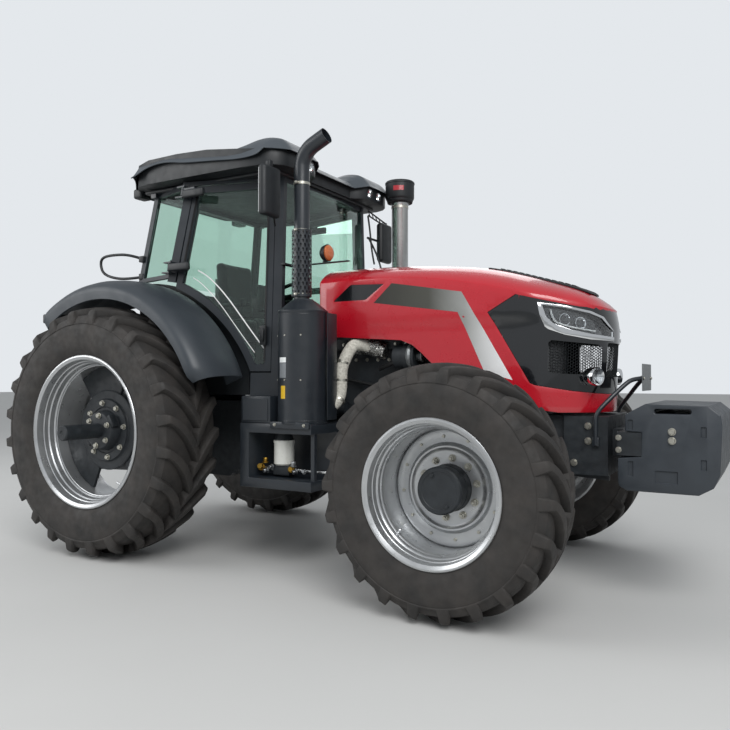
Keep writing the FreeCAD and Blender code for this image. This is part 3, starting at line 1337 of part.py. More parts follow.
def exhaust_stack():
    y = -s.exhaust_y
    base = s.muffler_top + 90
    shield_top = base + 460
    bend_z = 2770
    shield = rod((s.stack_x, y, base), (s.stack_x, y, shield_top), s.exhaust_shield_radius)
    turn = radians(STACK_TURN)
    centre = Vector(s.stack_x + STACK_BEND, y, bend_z)
    start = Vector(s.stack_x, y, bend_z)
    middle = centre + Vector(-cos(turn / 2), 0, sin(turn / 2)) * STACK_BEND
    stop = centre + Vector(-cos(turn), 0, sin(turn)) * STACK_BEND
    tip = stop + Vector(sin(turn), 0, cos(turn)) * 72
    path = Part.Wire([Part.LineSegment(Vector(s.stack_x, y, shield_top - 20), start).toShape(),
                      Part.Arc(start, middle, stop).toShape(), Part.LineSegment(stop, tip).toShape()])
    section = Part.Wire([Part.Circle(Vector(s.stack_x, y, shield_top - 20), Vector(0, 0, 1),
                                     s.exhaust_pipe_radius).toShape()])
    pipe = path.makePipeShell([section], True, False)
    return shield.fuse(pipe).removeSplitter()


shaped("exhaust_stack", exhaust_stack())


def tube(points, radius, bend):
    """A round tube through points, with every corner bent to one radius."""
    places = [Vector(*point) for point in points]
    edges = []
    last = places[0]
    for index in range(1, len(places) - 1):
        here = places[index]
        back = (places[index - 1] - here).normalize()
        on = (places[index + 1] - here).normalize()
        half = back.getAngle(on) / 2
        reach = bend / tan(half)
        middle = (back + on).normalize()
        apex = here + middle * (bend / sin(half) - bend)
        edges.append(Part.LineSegment(last, here + back * reach).toShape())
        edges.append(Part.Arc(here + back * reach, apex, here + on * reach).toShape())
        last = here + on * reach
    edges.append(Part.LineSegment(last, places[-1]).toShape())
    path = Part.Wire(edges)
    start = places[0]
    section = Part.Wire([Part.Circle(start, places[1] - start, radius).toShape()])
    return path.makePipeShell([section], True, False)


def exhaust_pipe():
    """Wrapped pipe from the turbocharger down into the canister's side."""
    y = -s.exhaust_y
    return tube([(2016, -s.engine_half_width + 10, 1471), (1900, -450, 1455), (1850, -560, 1180),
                 (s.stack_x + s.muffler_radius - 4, y + 20, 1120)], 42, 60)


pipe_ends = rod((s.stack_x, -s.exhaust_y, 900), (s.stack_x, -s.exhaust_y, 1850), s.muffler_radius).fuse(
    block(1900, 2100, -s.engine_half_width - s.soft_gap, 0, 1300, 1600))
shaped("exhaust_pipe", exhaust_pipe().cut(pipe_ends))


cleaner_low = s.cleaner_top - s.cleaner_height


def intake_stack():
    y = s.intake_y
    pipe = tube([(s.stack_x, y, cleaner_low), (s.stack_x, y, 1500), (s.stack_x + 140, 200, 1500)],
                s.intake_pipe_radius, 110)
    side = s.engine_half_width + s.soft_gap
    return pipe.cut(block(1500, 1900, 0, side, 1400, 1600))


shaped("intake_stack", intake_stack())

CLEANER = [(0, cleaner_low), (88, cleaner_low), (s.cleaner_radius - 14, cleaner_low + 26),
           (s.cleaner_radius, cleaner_low + 70), (s.cleaner_radius, s.cleaner_top - 34),
           (s.cleaner_radius - 12, s.cleaner_top), (0, s.cleaner_top)]
cleaner = turned_body("precleaner", "XZ_Plane", [corners(CLEANER)], "V_Axis")
place(cleaner, REAR_AXLE + " + Sizes.stack_x", "Sizes.intake_y")
keep(cleaner, "precleaner")


# Mirrors, beacon, side equipment

def mirrors():
    head = side_prism([(1340, 2400, 30), (1340, 2745, 30), (1395, 2745, 20), (1395, 2400, 20)], 780, 960)
    arm = tube([(1270, 560, 2740), (1330, 700, 2740), (1365, 870, 2700)], 12, 40)
    foot = slab(door_low, door_high, door_front, 16, s.soft_gap)
    foot = foot.common(block(1248, 1292, 400, 800, 2712, 2768))
    shape = head.fuse(arm).cut(slab(door_low, door_high, door_front, s.soft_gap, -300)).fuse(foot)
    shape = shape.removeSplitter()
    return Part.makeCompound([shape, mirrored(shape)])


shaped("mirrors", mirrors())


def beacon():
    """Round amber lamp at the end of a bar from the right front pillar."""
    bar = tube([(1300.3, -580, 2150), (1420, -580, 2150), (1740, -470, 2150)], 11, 60)
    lamp = rod((1600, -470, 2160), (1600, -470, 2260), 55)
    foot = block(1570, 1630, -530, -440, 2150, 2172)
    return joined(bar, lamp, foot)


shaped("beacon", beacon())

SIDE_BOX_LOW = 560


def side_box():
    """Right-hand boxes under the door and the canister, with a recess for the filter."""
    tray_top = s.muffler_bottom
    outer = block(1130, s.stack_x + s.muffler_radius, -s.exhaust_y - 150, -s.gearbox_half_width - 20, SIDE_BOX_LOW, tray_top)
    recess = block(1330, 1520, -s.exhaust_y - 160, -560, SIDE_BOX_LOW + 40, 900)
    lid = block(1130, 1390, -s.exhaust_y - 140, -420, tray_top, 1180 - s.soft_gap)
    rim = block(1130, 1390, -s.exhaust_y - 140, -680, 1120, 1195)
    canister = rod((1425, -s.exhaust_y, SIDE_BOX_LOW + 100), (1425, -s.exhaust_y, 902), 48)
    base = block(1400, 1450, -s.exhaust_y - 30, -550, SIDE_BOX_LOW + 90, SIDE_BOX_LOW + 130)
    shape = outer.cut(recess)
    return joined(shape, lid, rim, canister, base)


shaped("side_box", side_box())


def fuel_tank():
    """Left-hand fuel tank with the cab steps in front of the rear wheel."""
    tank = side_prism([(1230, 520, 40), (1230, 1150, 40), (1830, 1150, 60), (1830, 640, 60), (1740, 520, 60)],
                      s.gearbox_half_width + 20, s.exhaust_y + 150)
    stringer_a = block(1010, 1050, 600, 640, 480, 1190)
    stringer_b = block(1190, 1231, 600, 640, 480, 1180)
    shape = tank.fuse(stringer_a).fuse(stringer_b)
    for z in (480, 730, 980):
        shape = shape.fuse(block(1010, 1231, 600, 840, z, z + 40))
    return shape.removeSplitter()


shaped("fuel_tank", fuel_tank())


# Check every object, then write one file for each sub-part

DOC.recompute()
for thing in DOC.Objects:
    bad = [word for word in thing.State if word in ("Invalid", "Error")]
    if bad:
        raise RuntimeError("%s is %s" % (thing.Label, bad))
broken = []
for label, thing in KEPT.items():
    bad_shape = thing.Shape.isNull() or not thing.Shape.isValid() or thing.Shape.Volume < 1
    if bad_shape or thing.Label != label:
        broken.append(label)
if broken:
    raise RuntimeError("no valid shape: " + ", ".join(broken))

os.makedirs("parts", exist_ok=True)
whole = FreeCAD.BoundBox()
for label, thing in KEPT.items():
    thing.Shape.exportStep("parts/%s.step" % label)
    box = thing.Shape.BoundBox
    whole.add(box)
    print("%-20s %2d solids, x %7.0f..%5.0f  y %6.0f..%5.0f  z %5.0f..%5.0f" % (
        label, len(thing.Shape.Solids), box.XMin, box.XMax, box.YMin, box.YMax, box.ZMin, box.ZMax))
print("%d sub-parts, %.0f x %.0f x %.0f mm" % (len(KEPT), whole.XLength, whole.YLength, whole.ZLength))
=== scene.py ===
# %% [markdown]
# A four-wheel-drive farm tractor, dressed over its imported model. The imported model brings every
# piece at its true size and place in metres: +X forward, +Y to the driver's left, +Z up. It is
# loaded first and never moved, so each new piece can be put where the real one sits.

# %% Load the tractor
import random
from math import atan2, cos, hypot, pi, radians, sin, sqrt

import bpy
from mathutils import Matrix, Vector


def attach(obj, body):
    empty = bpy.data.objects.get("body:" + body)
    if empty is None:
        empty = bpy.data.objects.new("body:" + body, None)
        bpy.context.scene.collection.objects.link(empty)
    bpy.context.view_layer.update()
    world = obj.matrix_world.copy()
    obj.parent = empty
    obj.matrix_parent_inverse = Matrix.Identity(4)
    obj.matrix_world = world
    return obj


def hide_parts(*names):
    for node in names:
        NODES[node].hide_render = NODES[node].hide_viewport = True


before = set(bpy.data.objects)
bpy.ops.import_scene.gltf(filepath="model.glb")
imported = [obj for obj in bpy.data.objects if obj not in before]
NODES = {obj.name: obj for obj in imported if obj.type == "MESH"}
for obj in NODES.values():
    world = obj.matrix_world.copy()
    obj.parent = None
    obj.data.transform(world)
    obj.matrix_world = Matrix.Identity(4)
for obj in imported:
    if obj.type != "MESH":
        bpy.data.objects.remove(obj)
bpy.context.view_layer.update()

REAR_AXLE_X = -1.3625
FRONT_AXLE_X = 1.4215
REAR_AXLE_Z = 0.923
FRONT_AXLE_Z = 0.700
FRONT_HALF_TRACK = 1.107
REAR_HALF_TRACK = 1.029
ORIGIN = (0, 0, 0)
SIDES = (("right", -1), ("left", 1))

# %% [markdown]
# The camera stands where the photograph was taken: in front of the tractor's right front wheel,
# about 1.3 m above the ground, looking almost level. The lens and the place were worked out
# from the wheels' outlines, so the outlines in the render can be laid over the photograph.

# %% Camera
eye = bpy.data.cameras.new("eye")
eye.sensor_width = 36
eye.lens = 35.5
LOOK_UP = 0.018
LOOK_LEFT = 0.527
camera = bpy.data.objects.new("camera", eye)
camera.location = (3.0465, -4.754, 1.314)
camera.rotation_euler = (pi / 2 + LOOK_UP, 0, LOOK_LEFT)
bpy.context.scene.collection.objects.link(camera)
bpy.context.scene.camera = camera
bpy.context.scene.view_settings.view_transform = "Standard"
print("camera at", tuple(camera.location))

# %% [markdown]
# Every finish below is built from nodes. Colours are written as the hex values that a paint
# chart would give, and one function turns them to the linear values that the shaders want.
# One more function adds a node, sets it up and joins it to the nodes before it.

# %% Colour and node helpers
NOISE = "ShaderNodeTexNoise"
CELLS = "ShaderNodeTexVoronoi"


def hue(code):
    """A colour written as sRGB hex, as linear red, green, blue and alpha."""
    parts = [int(code[i:i + 2], 16) / 255 for i in (0, 2, 4)]
    return tuple(c / 12.92 if c <= 0.04045 else ((c + 0.055) / 1.055) ** 2.4 for c in parts) + (1.0,)


def node(finish, kind, inputs=None, **settings):
    """Add one node to a finish. Inputs take a value, or another node's output to link."""
    made = finish.node_tree.nodes.new(kind)
    for name, value in settings.items():
        setattr(made, name, value)
    for name, value in (inputs or {}).items():
        if isinstance(value, bpy.types.NodeSocket):
            finish.node_tree.links.new(value, made.inputs[name])
        else:
            made.inputs[name].default_value = value
    return made


def new_finish(name, **shader):
    """A material with its shader's plain values set; returns it with its shader and place nodes."""
    finish = bpy.data.materials.new(name)
    finish.use_nodes = True
    skin = finish.node_tree.nodes["Principled BSDF"]
    for key, value in shader.items():
        skin.inputs[key.replace("_", " ")].default_value = value
    place = node(finish, "ShaderNodeTexCoord")
    return finish, skin, place.outputs["Object"]


def two_tone(finish, skin, place, low, high, millimetres, soft=0.35, detail=3.0):
    """Mottle the colour between two shades in patches of a real size."""
    cloud = node(finish, NOISE, {"Vector": place, "Scale": 1000 / millimetres, "Detail": detail})
    ramp = node(finish, "ShaderNodeValToRGB", {"Fac": cloud.outputs["Fac"]})
    ramp.color_ramp.elements[0].position = 0.5 - soft / 2
    ramp.color_ramp.elements[1].position = 0.5 + soft / 2
    ramp.color_ramp.elements[0].color = hue(low)
    ramp.color_ramp.elements[1].color = hue(high)
    finish.node_tree.links.new(ramp.outputs["Color"], skin.inputs["Base Color"])


def grain(finish, skin, place, millimetres, height, strength, kind=NOISE, detail=2.0):
    """Raise the surface in grains of a real size, by a height in millimetres."""
    inputs = {"Vector": place, "Scale": 1000 / millimetres}
    if kind == NOISE:
        inputs["Detail"] = detail
    wave = node(finish, kind, inputs)
    bump = node(finish, "ShaderNodeBump", {"Height": wave.outputs["Fac" if kind == NOISE else "Distance"],
                                           "Strength": strength, "Distance": height / 1000})
    finish.node_tree.links.new(bump.outputs["Normal"], skin.inputs["Normal"])


def worn_gloss(finish, skin, place, low, high, millimetres):
    """Let the roughness drift between two values, as handled or dusty surfaces do."""
    cloud = node(finish, NOISE, {"Vector": place, "Scale": 1000 / millimetres, "Detail": 4.0})
    span = node(finish, "ShaderNodeMapRange", {"Value": cloud.outputs["Fac"], "From Min": 0.3,
                                               "From Max": 0.7, "To Min": low, "To Max": high})
    finish.node_tree.links.new(span.outputs["Result"], skin.inputs["Roughness"])


print("node helpers ready")

# %% [markdown]
# Every finish is made the same way: two close tones in patches of a real size, a gloss that
# drifts between two values, and grains raised on the skin. One function takes those three in
# turn, each with its size in millimetres, so a finish is a few numbers with a reason behind them.

# %% One function for a finish
def finish_of(name, tones, gloss=None, grains=None, **shader):
    """A finish from its tones, its gloss and its grains, each given as its function wants it."""
    finish, skin, place = new_finish(name, **shader)
    two_tone(finish, skin, place, *tones)
    if gloss:
        worn_gloss(finish, skin, place, *gloss)
    if grains:
        grain(finish, skin, place, *grains)
    return finish

# %% [markdown]
# Sheet metal first. The hood is pressed steel in a deep red enamel under a clear coat: the coat
# mirrors the sky sharply, and a faint orange peel of a few millimetres bends the reflections.
# The frame and the canister are sprayed in a blue-black satin enamel. The castings carry the
# same paint on a rougher skin, and the wheel barrels a metallic silver.

# %% Painted metal
RED_ENAMEL = finish_of("red_enamel", ("B00F20", "BA1426", 260, 0.6), (0.24, 0.34, 90),
                       (3.5, 0.04, 0.10), Coat_Weight=0.8, Coat_Roughness=0.06, IOR=1.5)
SATIN_BLACK = finish_of("satin_black_enamel", ("1A1F25", "22282E", 180, 0.6), (0.32, 0.48, 70),
                        (2.5, 0.05, 0.12), Coat_Weight=0.25, Coat_Roughness=0.25)
CASTING_BLACK = finish_of("black_painted_casting", ("15191D", "252A2E", 60, 0.5, 6.0),
                          (0.42, 0.65, 45), (4, 0.5, 0.45, NOISE, 6.0))
WEIGHT_GREY = finish_of("dark_grey_painted_iron", ("2B3036", "353B41", 120, 0.6, 5.0),
                        (0.38, 0.55, 60), (5, 0.4, 0.3, NOISE, 5.0),
                        Coat_Weight=0.1, Coat_Roughness=0.3)
RIM_SILVER = finish_of("silver_wheel_enamel", ("B4B6B8", "C2C4C5", 90, 0.7), (0.26, 0.40, 40),
                       (1.5, 0.02, 0.12), Metallic=0.8, Coat_Weight=0.35, Coat_Roughness=0.15)
print("painted metal ready")

# %% [markdown]
# Bare and plated metal. Chrome is smooth and nearly white, the stainless intake pipe was brushed
# round and round, machined pins are greyer, and the zinc on bolts has a faint yellow cast.
# A metal's colour is what it reflects, so these keep the default index of refraction.

# %% Bare metal
CHROME = finish_of("chrome_plate", ("DFE1E3", "E8E9EA", 60, 0.8), (0.05, 0.10, 30), Metallic=1.0)
STAINLESS = finish_of("brushed_stainless", ("B9BABA", "CDCECE", 45, 0.8), (0.16, 0.26, 25),
                      (2, 0.01, 0.04), Metallic=1.0)
MACHINED = finish_of("machined_steel", ("8D9092", "A6A8A9", 20, 0.7), (0.28, 0.42, 12),
                     (1.2, 0.04, 0.2), Metallic=1.0)
ZINC = finish_of("zinc_plated_bolts", ("A8A69C", "C6C4BA", 8, 0.7), (0.3, 0.45, 6), Metallic=0.9)
BRASS = finish_of("cast_brass", ("8A6B2C", "A8873E", 10, 0.7), (0.3, 0.5, 8), Metallic=1.0)
BARE_ALUMINIUM = finish_of("cast_aluminium", ("7C7F80", "9A9D9E", 18, 0.7, 5.0), (0.42, 0.6, 10),
                           (2.5, 0.2, 0.4, NOISE, 5.0), Metallic=0.85)
print("bare metal ready")

# %% [markdown]
# Rubber and plastics. The tyres are moulded rubber, grey-brown with dust where the lugs meet
# the ground. The fenders, the roof shell and the mirror backs are grained mouldings of
# polypropylene or ABS, matt to satin, and the mask round the headlamps is a high-gloss one.

# %% Rubber and plastics
TYRE_RUBBER = finish_of("moulded_tyre_rubber", ("201F1E", "36322F", 130, 0.45, 7.0),
                        (0.62, 0.85, 50), (6, 0.4, 0.3, NOISE, 6.0), IOR=1.52)
HOSE_RUBBER = finish_of("black_hose_rubber", ("141516", "1F2021", 25, 0.6), (0.45, 0.6, 15))
GRAINED_BLACK = finish_of("grained_black_polypropylene", ("16191C", "1D2124", 90, 0.7),
                          (0.42, 0.55, 60), (1.8, 0.12, 0.25, CELLS))
FENDER_GREY = finish_of("grained_grey_polypropylene", ("30363C", "383E44", 240, 0.7),
                        (0.40, 0.52, 110), (1.8, 0.10, 0.2, CELLS))
ROOF_GREY = finish_of("satin_grey_abs", ("3E444A", "484F55", 300, 0.7), (0.38, 0.50, 120),
                      (2.5, 0.05, 0.12), Coat_Weight=0.08, Coat_Roughness=0.3)
MASK_GLOSS = finish_of("gloss_black_abs", ("0B0D10", "101317", 200, 0.8), (0.12, 0.2, 80),
                       Coat_Weight=1.0, Coat_Roughness=0.03, IOR=1.5)
print("rubber and plastics ready")

# %% [markdown]
# Glass and lamps. The cab's safety glass is tinted green: it lets light through with a green
# cast and mirrors the sky at a flat angle. Lenses are clear or coloured polycarbonate.

# %% Glass and lenses
CAB_GLASS = finish_of("green_tinted_glass", ("D0E7DC", "D7ECE3", 500, 0.8),
                      Roughness=0.0, IOR=1.5, Transmission_Weight=1.0)
LENS_CLEAR = finish_of("clear_polycarbonate", ("F0F4F6", "FFFFFF", 60, 0.8),
                       Roughness=0.02, IOR=1.58, Transmission_Weight=1.0)
AMBER_LENS = finish_of("amber_polycarbonate", ("D8703A", "E8905C", 14, 0.6), (0.08, 0.16, 20),
                       IOR=1.58, Transmission_Weight=0.35)
RED_LENS = finish_of("red_polycarbonate", ("8E0A10", "A81218", 14, 0.6), (0.08, 0.16, 20),
                     IOR=1.58, Transmission_Weight=0.3)
MIRROR = finish_of("mirror_glass", ("D5D9DA", "DDE0E1", 200, 0.8), Metallic=1.0, Roughness=0.02)
print("glass and lenses ready")

# %% [markdown]
# Soft finishes and films. The seat is covered in a coarse woven cloth, the exhaust is wound in
# glass-fibre tape, a blanket of crinkled foil keeps the manifold's heat in, and the stickers
# are vinyl films, each of one plain colour.

# %% Cloth, wraps and films
SEAT_CLOTH = finish_of("woven_seat_cloth", ("1B1C1F", "2A2B2F", 5, 0.4, 2.0), None,
                       (3.5, 0.5, 0.6, CELLS), Sheen_Weight=0.4, Roughness=0.9)
HEAT_WRAP = finish_of("glass_fibre_wrap", ("A9A69C", "DAD7CC", 16, 0.4, 6.0), None,
                      (5, 1.2, 0.8, NOISE, 6.0), Roughness=0.92)
SILVER_FOIL = finish_of("crinkled_aluminium_foil", ("8E8D89", "C9C8C4", 18, 0.4, 6.0),
                        (0.18, 0.42, 12), (14, 5, 1.0, CELLS), Metallic=0.95)
VINYL_WHITE = finish_of("white_vinyl_film", ("DCDFDE", "E9EBEA", 200, 0.8), (0.3, 0.4, 60),
                        Coat_Weight=0.3, Coat_Roughness=0.1)
VINYL_YELLOW = finish_of("yellow_vinyl_film", ("D2A818", "DCB32A", 30, 0.8), (0.3, 0.4, 20),
                         Coat_Weight=0.3, Coat_Roughness=0.1)
VINYL_GREY = finish_of("grey_vinyl_film", ("6C7074", "7A7E82", 20, 0.7), (0.35, 0.45, 20),
                       Coat_Weight=0.2, Coat_Roughness=0.15)
VINYL_RED = finish_of("red_vinyl_film", ("A8202C", "B42C36", 40, 0.7), (0.3, 0.4, 20),
                      Coat_Weight=0.3, Coat_Roughness=0.12)
FILTER_WHITE = finish_of("white_filter_enamel", ("CFCFC8", "DADAD4", 40, 0.7), (0.25, 0.4, 30),
                         Coat_Weight=0.4, Coat_Roughness=0.1)
print(len(bpy.data.materials), "finishes")

# %% [markdown]
# The studio is a pale floor and a pale surround. The lamps light the tractor at a plain level,
# so a colour comes out about as it was written. The surround is shown nearly white to the
# camera and through glass, while it lights the tractor no more than a pale surround would.

# %% Floor, surround and lamps
JUST_UNDER = -0.002
bpy.ops.mesh.primitive_plane_add(size=120, location=(0, 0, JUST_UNDER))
floor = bpy.context.object
floor.name = "floor"
FLOOR = finish_of("pale_floor", ("C6C6C4", "CDCDCB", 1500, 0.9), Roughness=0.75)
floor.data.materials.append(FLOOR)

world = bpy.data.worlds.new("surround")
bpy.context.scene.world = world
world.use_nodes = True
sky = world.node_tree.nodes["Background"]
sky.inputs["Color"].default_value = hue("E4E8EC")
LIGHT_GIVEN = 0.62
LIGHT_SHOWN = 1.0
rays = node(world, "ShaderNodeLightPath")
seen = node(world, "ShaderNodeMath", {0: rays.outputs["Is Camera Ray"],
                                      1: rays.outputs["Is Transmission Ray"]}, operation="MAXIMUM")
strength = node(world, "ShaderNodeMapRange", {"Value": seen.outputs[0], "To Min": LIGHT_GIVEN,
                                             "To Max": LIGHT_SHOWN})
world.node_tree.links.new(strength.outputs["Result"], sky.inputs["Strength"])


def lamp(name, place, aim, size, watts):
    """A soft square lamp that hangs at a place and points at another."""
    light = bpy.data.lights.new(name, "AREA")
    light.size = size
    light.energy = watts
    bulb = bpy.data.objects.new(name, light)
    bulb.location = place
    bulb.rotation_euler = (Vector(aim) - Vector(place)).to_track_quat("-Z", "Y").to_euler()
    bpy.context.scene.collection.objects.link(bulb)


TRACTOR_MIDDLE = (0, 0, 1)
lamp("key_lamp", (6.0, -7.0, 8.0), TRACTOR_MIDDLE, 6.0, 760)
lamp("fill_lamp", (-7.0, -6.0, 5.0), TRACTOR_MIDDLE, 6.0, 330)
lamp("rear_lamp", (-3.0, 8.0, 7.0), TRACTOR_MIDDLE, 6.0, 150)
print("floor, surround and three lamps")

# %% [markdown]
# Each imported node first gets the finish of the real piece, so that nothing is ever left plain.

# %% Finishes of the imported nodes
CAD_FINISH = {TYRE_RUBBER: ["tyre_front_left", "tyre_front_right", "tyre_rear_left", "tyre_rear_right"],
              RIM_SILVER: ["rim_front_left", "rim_front_right", "rim_rear_left", "rim_rear_right"],
              CASTING_BLACK: ["hub_front_left", "hub_front_right", "hub_rear_left", "hub_rear_right",
                              "knuckle_left", "knuckle_right", "front_axle", "engine_block",
                              "transmission", "lift_arms", "front_frame", "weight_carrier"],
              WEIGHT_GREY: ["front_weights"], SATIN_BLACK: ["radiator", "drawbar", "lower_links",
                                                            "lift_rods", "muffler", "exhaust_stack",
                                                            "side_box", "fuel_tank", "seat_base",
                                                            "cab_frame", "door_frame_left",
                                                            "door_frame_right"],
              MACHINED: ["steering_rod", "pto_shaft", "top_link"], RED_ENAMEL: ["hood_shell"],
              MASK_GLOSS: ["nose_mask"], BARE_ALUMINIUM: ["number_plate"], LENS_CLEAR: ["front_lamps"],
              ROOF_GREY: ["cab_roof"], CAB_GLASS: ["cab_glass", "door_glass_left", "door_glass_right"],
              FENDER_GREY: ["rear_fenders"], GRAINED_BLACK: ["cab_tub", "steering_column",
                                                             "steering_wheel", "precleaner", "mirrors"],
              SEAT_CLOTH: ["seat_cushions"], HEAT_WRAP: ["exhaust_pipe"], STAINLESS: ["intake_stack"],
              AMBER_LENS: ["beacon"], }
for finish, names in CAD_FINISH.items():
    for name in names:
        slots = NODES[name].material_slots
        if not slots:
            NODES[name].data.materials.append(finish)
        for slot in slots:
            slot.material = finish
print(sum(len(names) for names in CAD_FINISH.values()), "nodes finished")

# %% [markdown]
# The pieces are modelled as by hand: a primitive is added, its points are moved to the real
# outline, and it is extruded, spun or bevelled. An operator acts on all that is selected, so
# everything is deselected before each one. A finished piece has its place in its mesh.

# %% Modelling helpers
def lone(piece=None):
    """Leave edit mode and select nothing, or only one piece."""
    if bpy.context.mode != "OBJECT":
        bpy.ops.object.mode_set(mode="OBJECT")
    bpy.ops.object.select_all(action="DESELECT")
    if piece:
        piece.select_set(True)
        bpy.context.view_layer.objects.active = piece


def edit(piece):
    """Open a piece in edit mode with everything selected."""
    lone(piece)
    bpy.ops.object.mode_set(mode="EDIT")
    bpy.ops.mesh.select_all(action="SELECT")


MEETING = 0.00005


def tidy_shell():
    """In edit mode, merge what meets and turn every face outwards."""
    bpy.ops.mesh.select_all(action="SELECT")
    bpy.ops.mesh.remove_doubles(threshold=MEETING)
    bpy.ops.mesh.normals_make_consistent(inside=False)
    bpy.ops.object.mode_set(mode="OBJECT")


def modify(piece, kind, **settings):
    """Add a modifier, set it up and apply it."""
    lone(piece)
    step = piece.modifiers.new(kind, kind)
    for key, value in settings.items():
        setattr(step, key, value)
    bpy.ops.object.modifier_apply(modifier=step.name)
    return piece


def bevel(piece, width, segments=2, angle=30):
    return modify(piece, "BEVEL", width=width, segments=segments, limit_method="ANGLE",
                  angle_limit=radians(angle), use_clamp_overlap=True)


def block(low, high, round_by=0.004, segments=2):
    """A cube stretched between two corners, with every edge rounded."""
    lone()
    middle = (Vector(low) + Vector(high)) / 2
    size = Vector(high) - Vector(low)
    bpy.ops.mesh.primitive_cube_add(size=1, location=middle, scale=size)
    piece = bpy.context.object
    bpy.ops.object.transform_apply(location=True, rotation=True, scale=True)
    if round_by:
        bevel(piece, min(round_by, min(size) * 0.45), segments)
    return piece


def outline(points, along, low, high, round_by=0.0, segments=2):
    """A filled outline pushed along x, y or z. Its points give the other two of x, y, z in order."""
    lone()
    bpy.ops.mesh.primitive_circle_add(vertices=len(points), fill_type="NGON")
    piece = bpy.context.object
    spot = {"x": lambda a, b: (low, a, b), "y": lambda a, b: (a, low, b),
            "z": lambda a, b: (a, b, low)}[along]
    for vertex, (a, b) in zip(piece.data.vertices, points):
        vertex.co = spot(a, b)
    edit(piece)
    shift = {"x": (high - low, 0, 0), "y": (0, high - low, 0), "z": (0, 0, high - low)}[along]
    bpy.ops.mesh.extrude_region_move(TRANSFORM_OT_translate={"value": shift})
    tidy_shell()
    return bevel(piece, round_by, segments) if round_by else piece


def turned(profile, centre, axis="y", steps=96):
    """Spin a closed profile of (along, radius) points about an axis through a centre."""
    lone()
    bpy.ops.mesh.primitive_circle_add(vertices=len(profile), fill_type="NOTHING")
    piece = bpy.context.object
    centre = Vector(centre)
    lay = {"x": lambda a, r: Vector((a, 0, r)), "y": lambda a, r: Vector((0, a, r)),
           "z": lambda a, r: Vector((r, 0, a))}[axis]
    for vertex, (along, radius) in zip(piece.data.vertices, profile):
        vertex.co = centre + lay(along, radius)
    edit(piece)
    line = {"x": (1, 0, 0), "y": (0, 1, 0), "z": (0, 0, 1)}[axis]
    bpy.ops.mesh.spin(steps=steps, angle=2 * pi, center=centre, axis=line)
    tidy_shell()
    return piece


def surface(rows, wall=0.0, close=False, smooth=0):
    """A grid whose points are moved to rows of places, given a wall or closed into a tube."""
    lone()
    across = len(rows[0])
    bpy.ops.mesh.primitive_grid_add(x_subdivisions=across - 1, y_subdivisions=len(rows) - 1)
    piece = bpy.context.object
    flat = [point for row in rows for point in row]
    for vertex, point in zip(piece.data.vertices, flat):
        vertex.co = point
    edit(piece)
    bpy.ops.mesh.remove_doubles(threshold=MEETING)
    if close:
        bpy.ops.mesh.select_all(action="DESELECT")
        bpy.ops.mesh.select_mode(type="EDGE")
        bpy.ops.mesh.select_non_manifold()
        bpy.ops.mesh.fill()
    tidy_shell()
    if smooth:
        modify(piece, "SUBSURF", levels=smooth, render_levels=smooth)
    if wall:
        modify(piece, "SOLIDIFY", thickness=wall, offset=-1)
    return piece


def pipe(points, radius, fine=6, ring=5):
    """A round pipe, hose or wire on one smooth line through the air, with closed ends."""
    lone()
    run = bpy.data.curves.new("run", "CURVE")
    run.dimensions = "3D"
    line = run.splines.new("NURBS")
    line.points.add(len(points) - 1)
    for knot, point in zip(line.points, points):
        knot.co = (*point, 1)
    line.order_u = 3
    line.use_endpoint_u = True
    line.resolution_u = fine
    run.bevel_depth = radius
    run.bevel_resolution = ring
    run.use_fill_caps = True
    piece = bpy.data.objects.new("run", run)
    bpy.context.scene.collection.objects.link(piece)
    lone(piece)
    bpy.ops.object.convert(target="MESH")
    edit(piece)
    tidy_shell()
    return piece


def stamped(model, places):
    """Copies of a piece modelled at the origin, one at each matrix, joined into one piece."""
    made = []
    for matrix in places:
        one = model.copy()
        one.data = model.data.copy()
        one.data.transform(matrix)
        if matrix.determinant() < 0:
            one.data.flip_normals()
        bpy.context.scene.collection.objects.link(one)
        made.append(one)
    bpy.data.objects.remove(model)
    return together(made)


def together(made):
    """Join pieces into one."""
    lone(made[0])
    for one in made[1:]:
        one.select_set(True)
    if len(made) > 1:
        bpy.ops.object.join()
    return bpy.context.object


def cut(piece, tool, how="DIFFERENCE"):
    """Cut a piece with another, or keep only what they share."""
    modify(piece, "BOOLEAN", operation=how, object=tool, solver="EXACT")
    bpy.data.objects.remove(tool)
    return piece


def ready(piece, name, finish, stands_for=(), smooth=35, body="chassis"):
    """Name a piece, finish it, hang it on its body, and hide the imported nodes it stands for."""
    piece.name = name
    piece.data.name = name
    piece.data.materials.clear()
    piece.data.materials.append(finish)
    lone(piece)
    bpy.ops.object.shade_smooth_by_angle(angle=radians(smooth))
    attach(piece, body)
    if stands_for:
        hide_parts(*stands_for)
    return piece


def at(x, y, z):
    """A place measured from the rear axle, in metres."""
    return Vector((x + REAR_AXLE_X, y, z))


def front_wheel(side):
    """The middle of a front wheel."""
    return Vector((FRONT_AXLE_X, side * FRONT_HALF_TRACK, FRONT_AXLE_Z))


def rear_wheel(side):
    """The middle of a rear wheel."""
    return Vector((REAR_AXLE_X, side * REAR_HALF_TRACK, REAR_AXLE_Z))


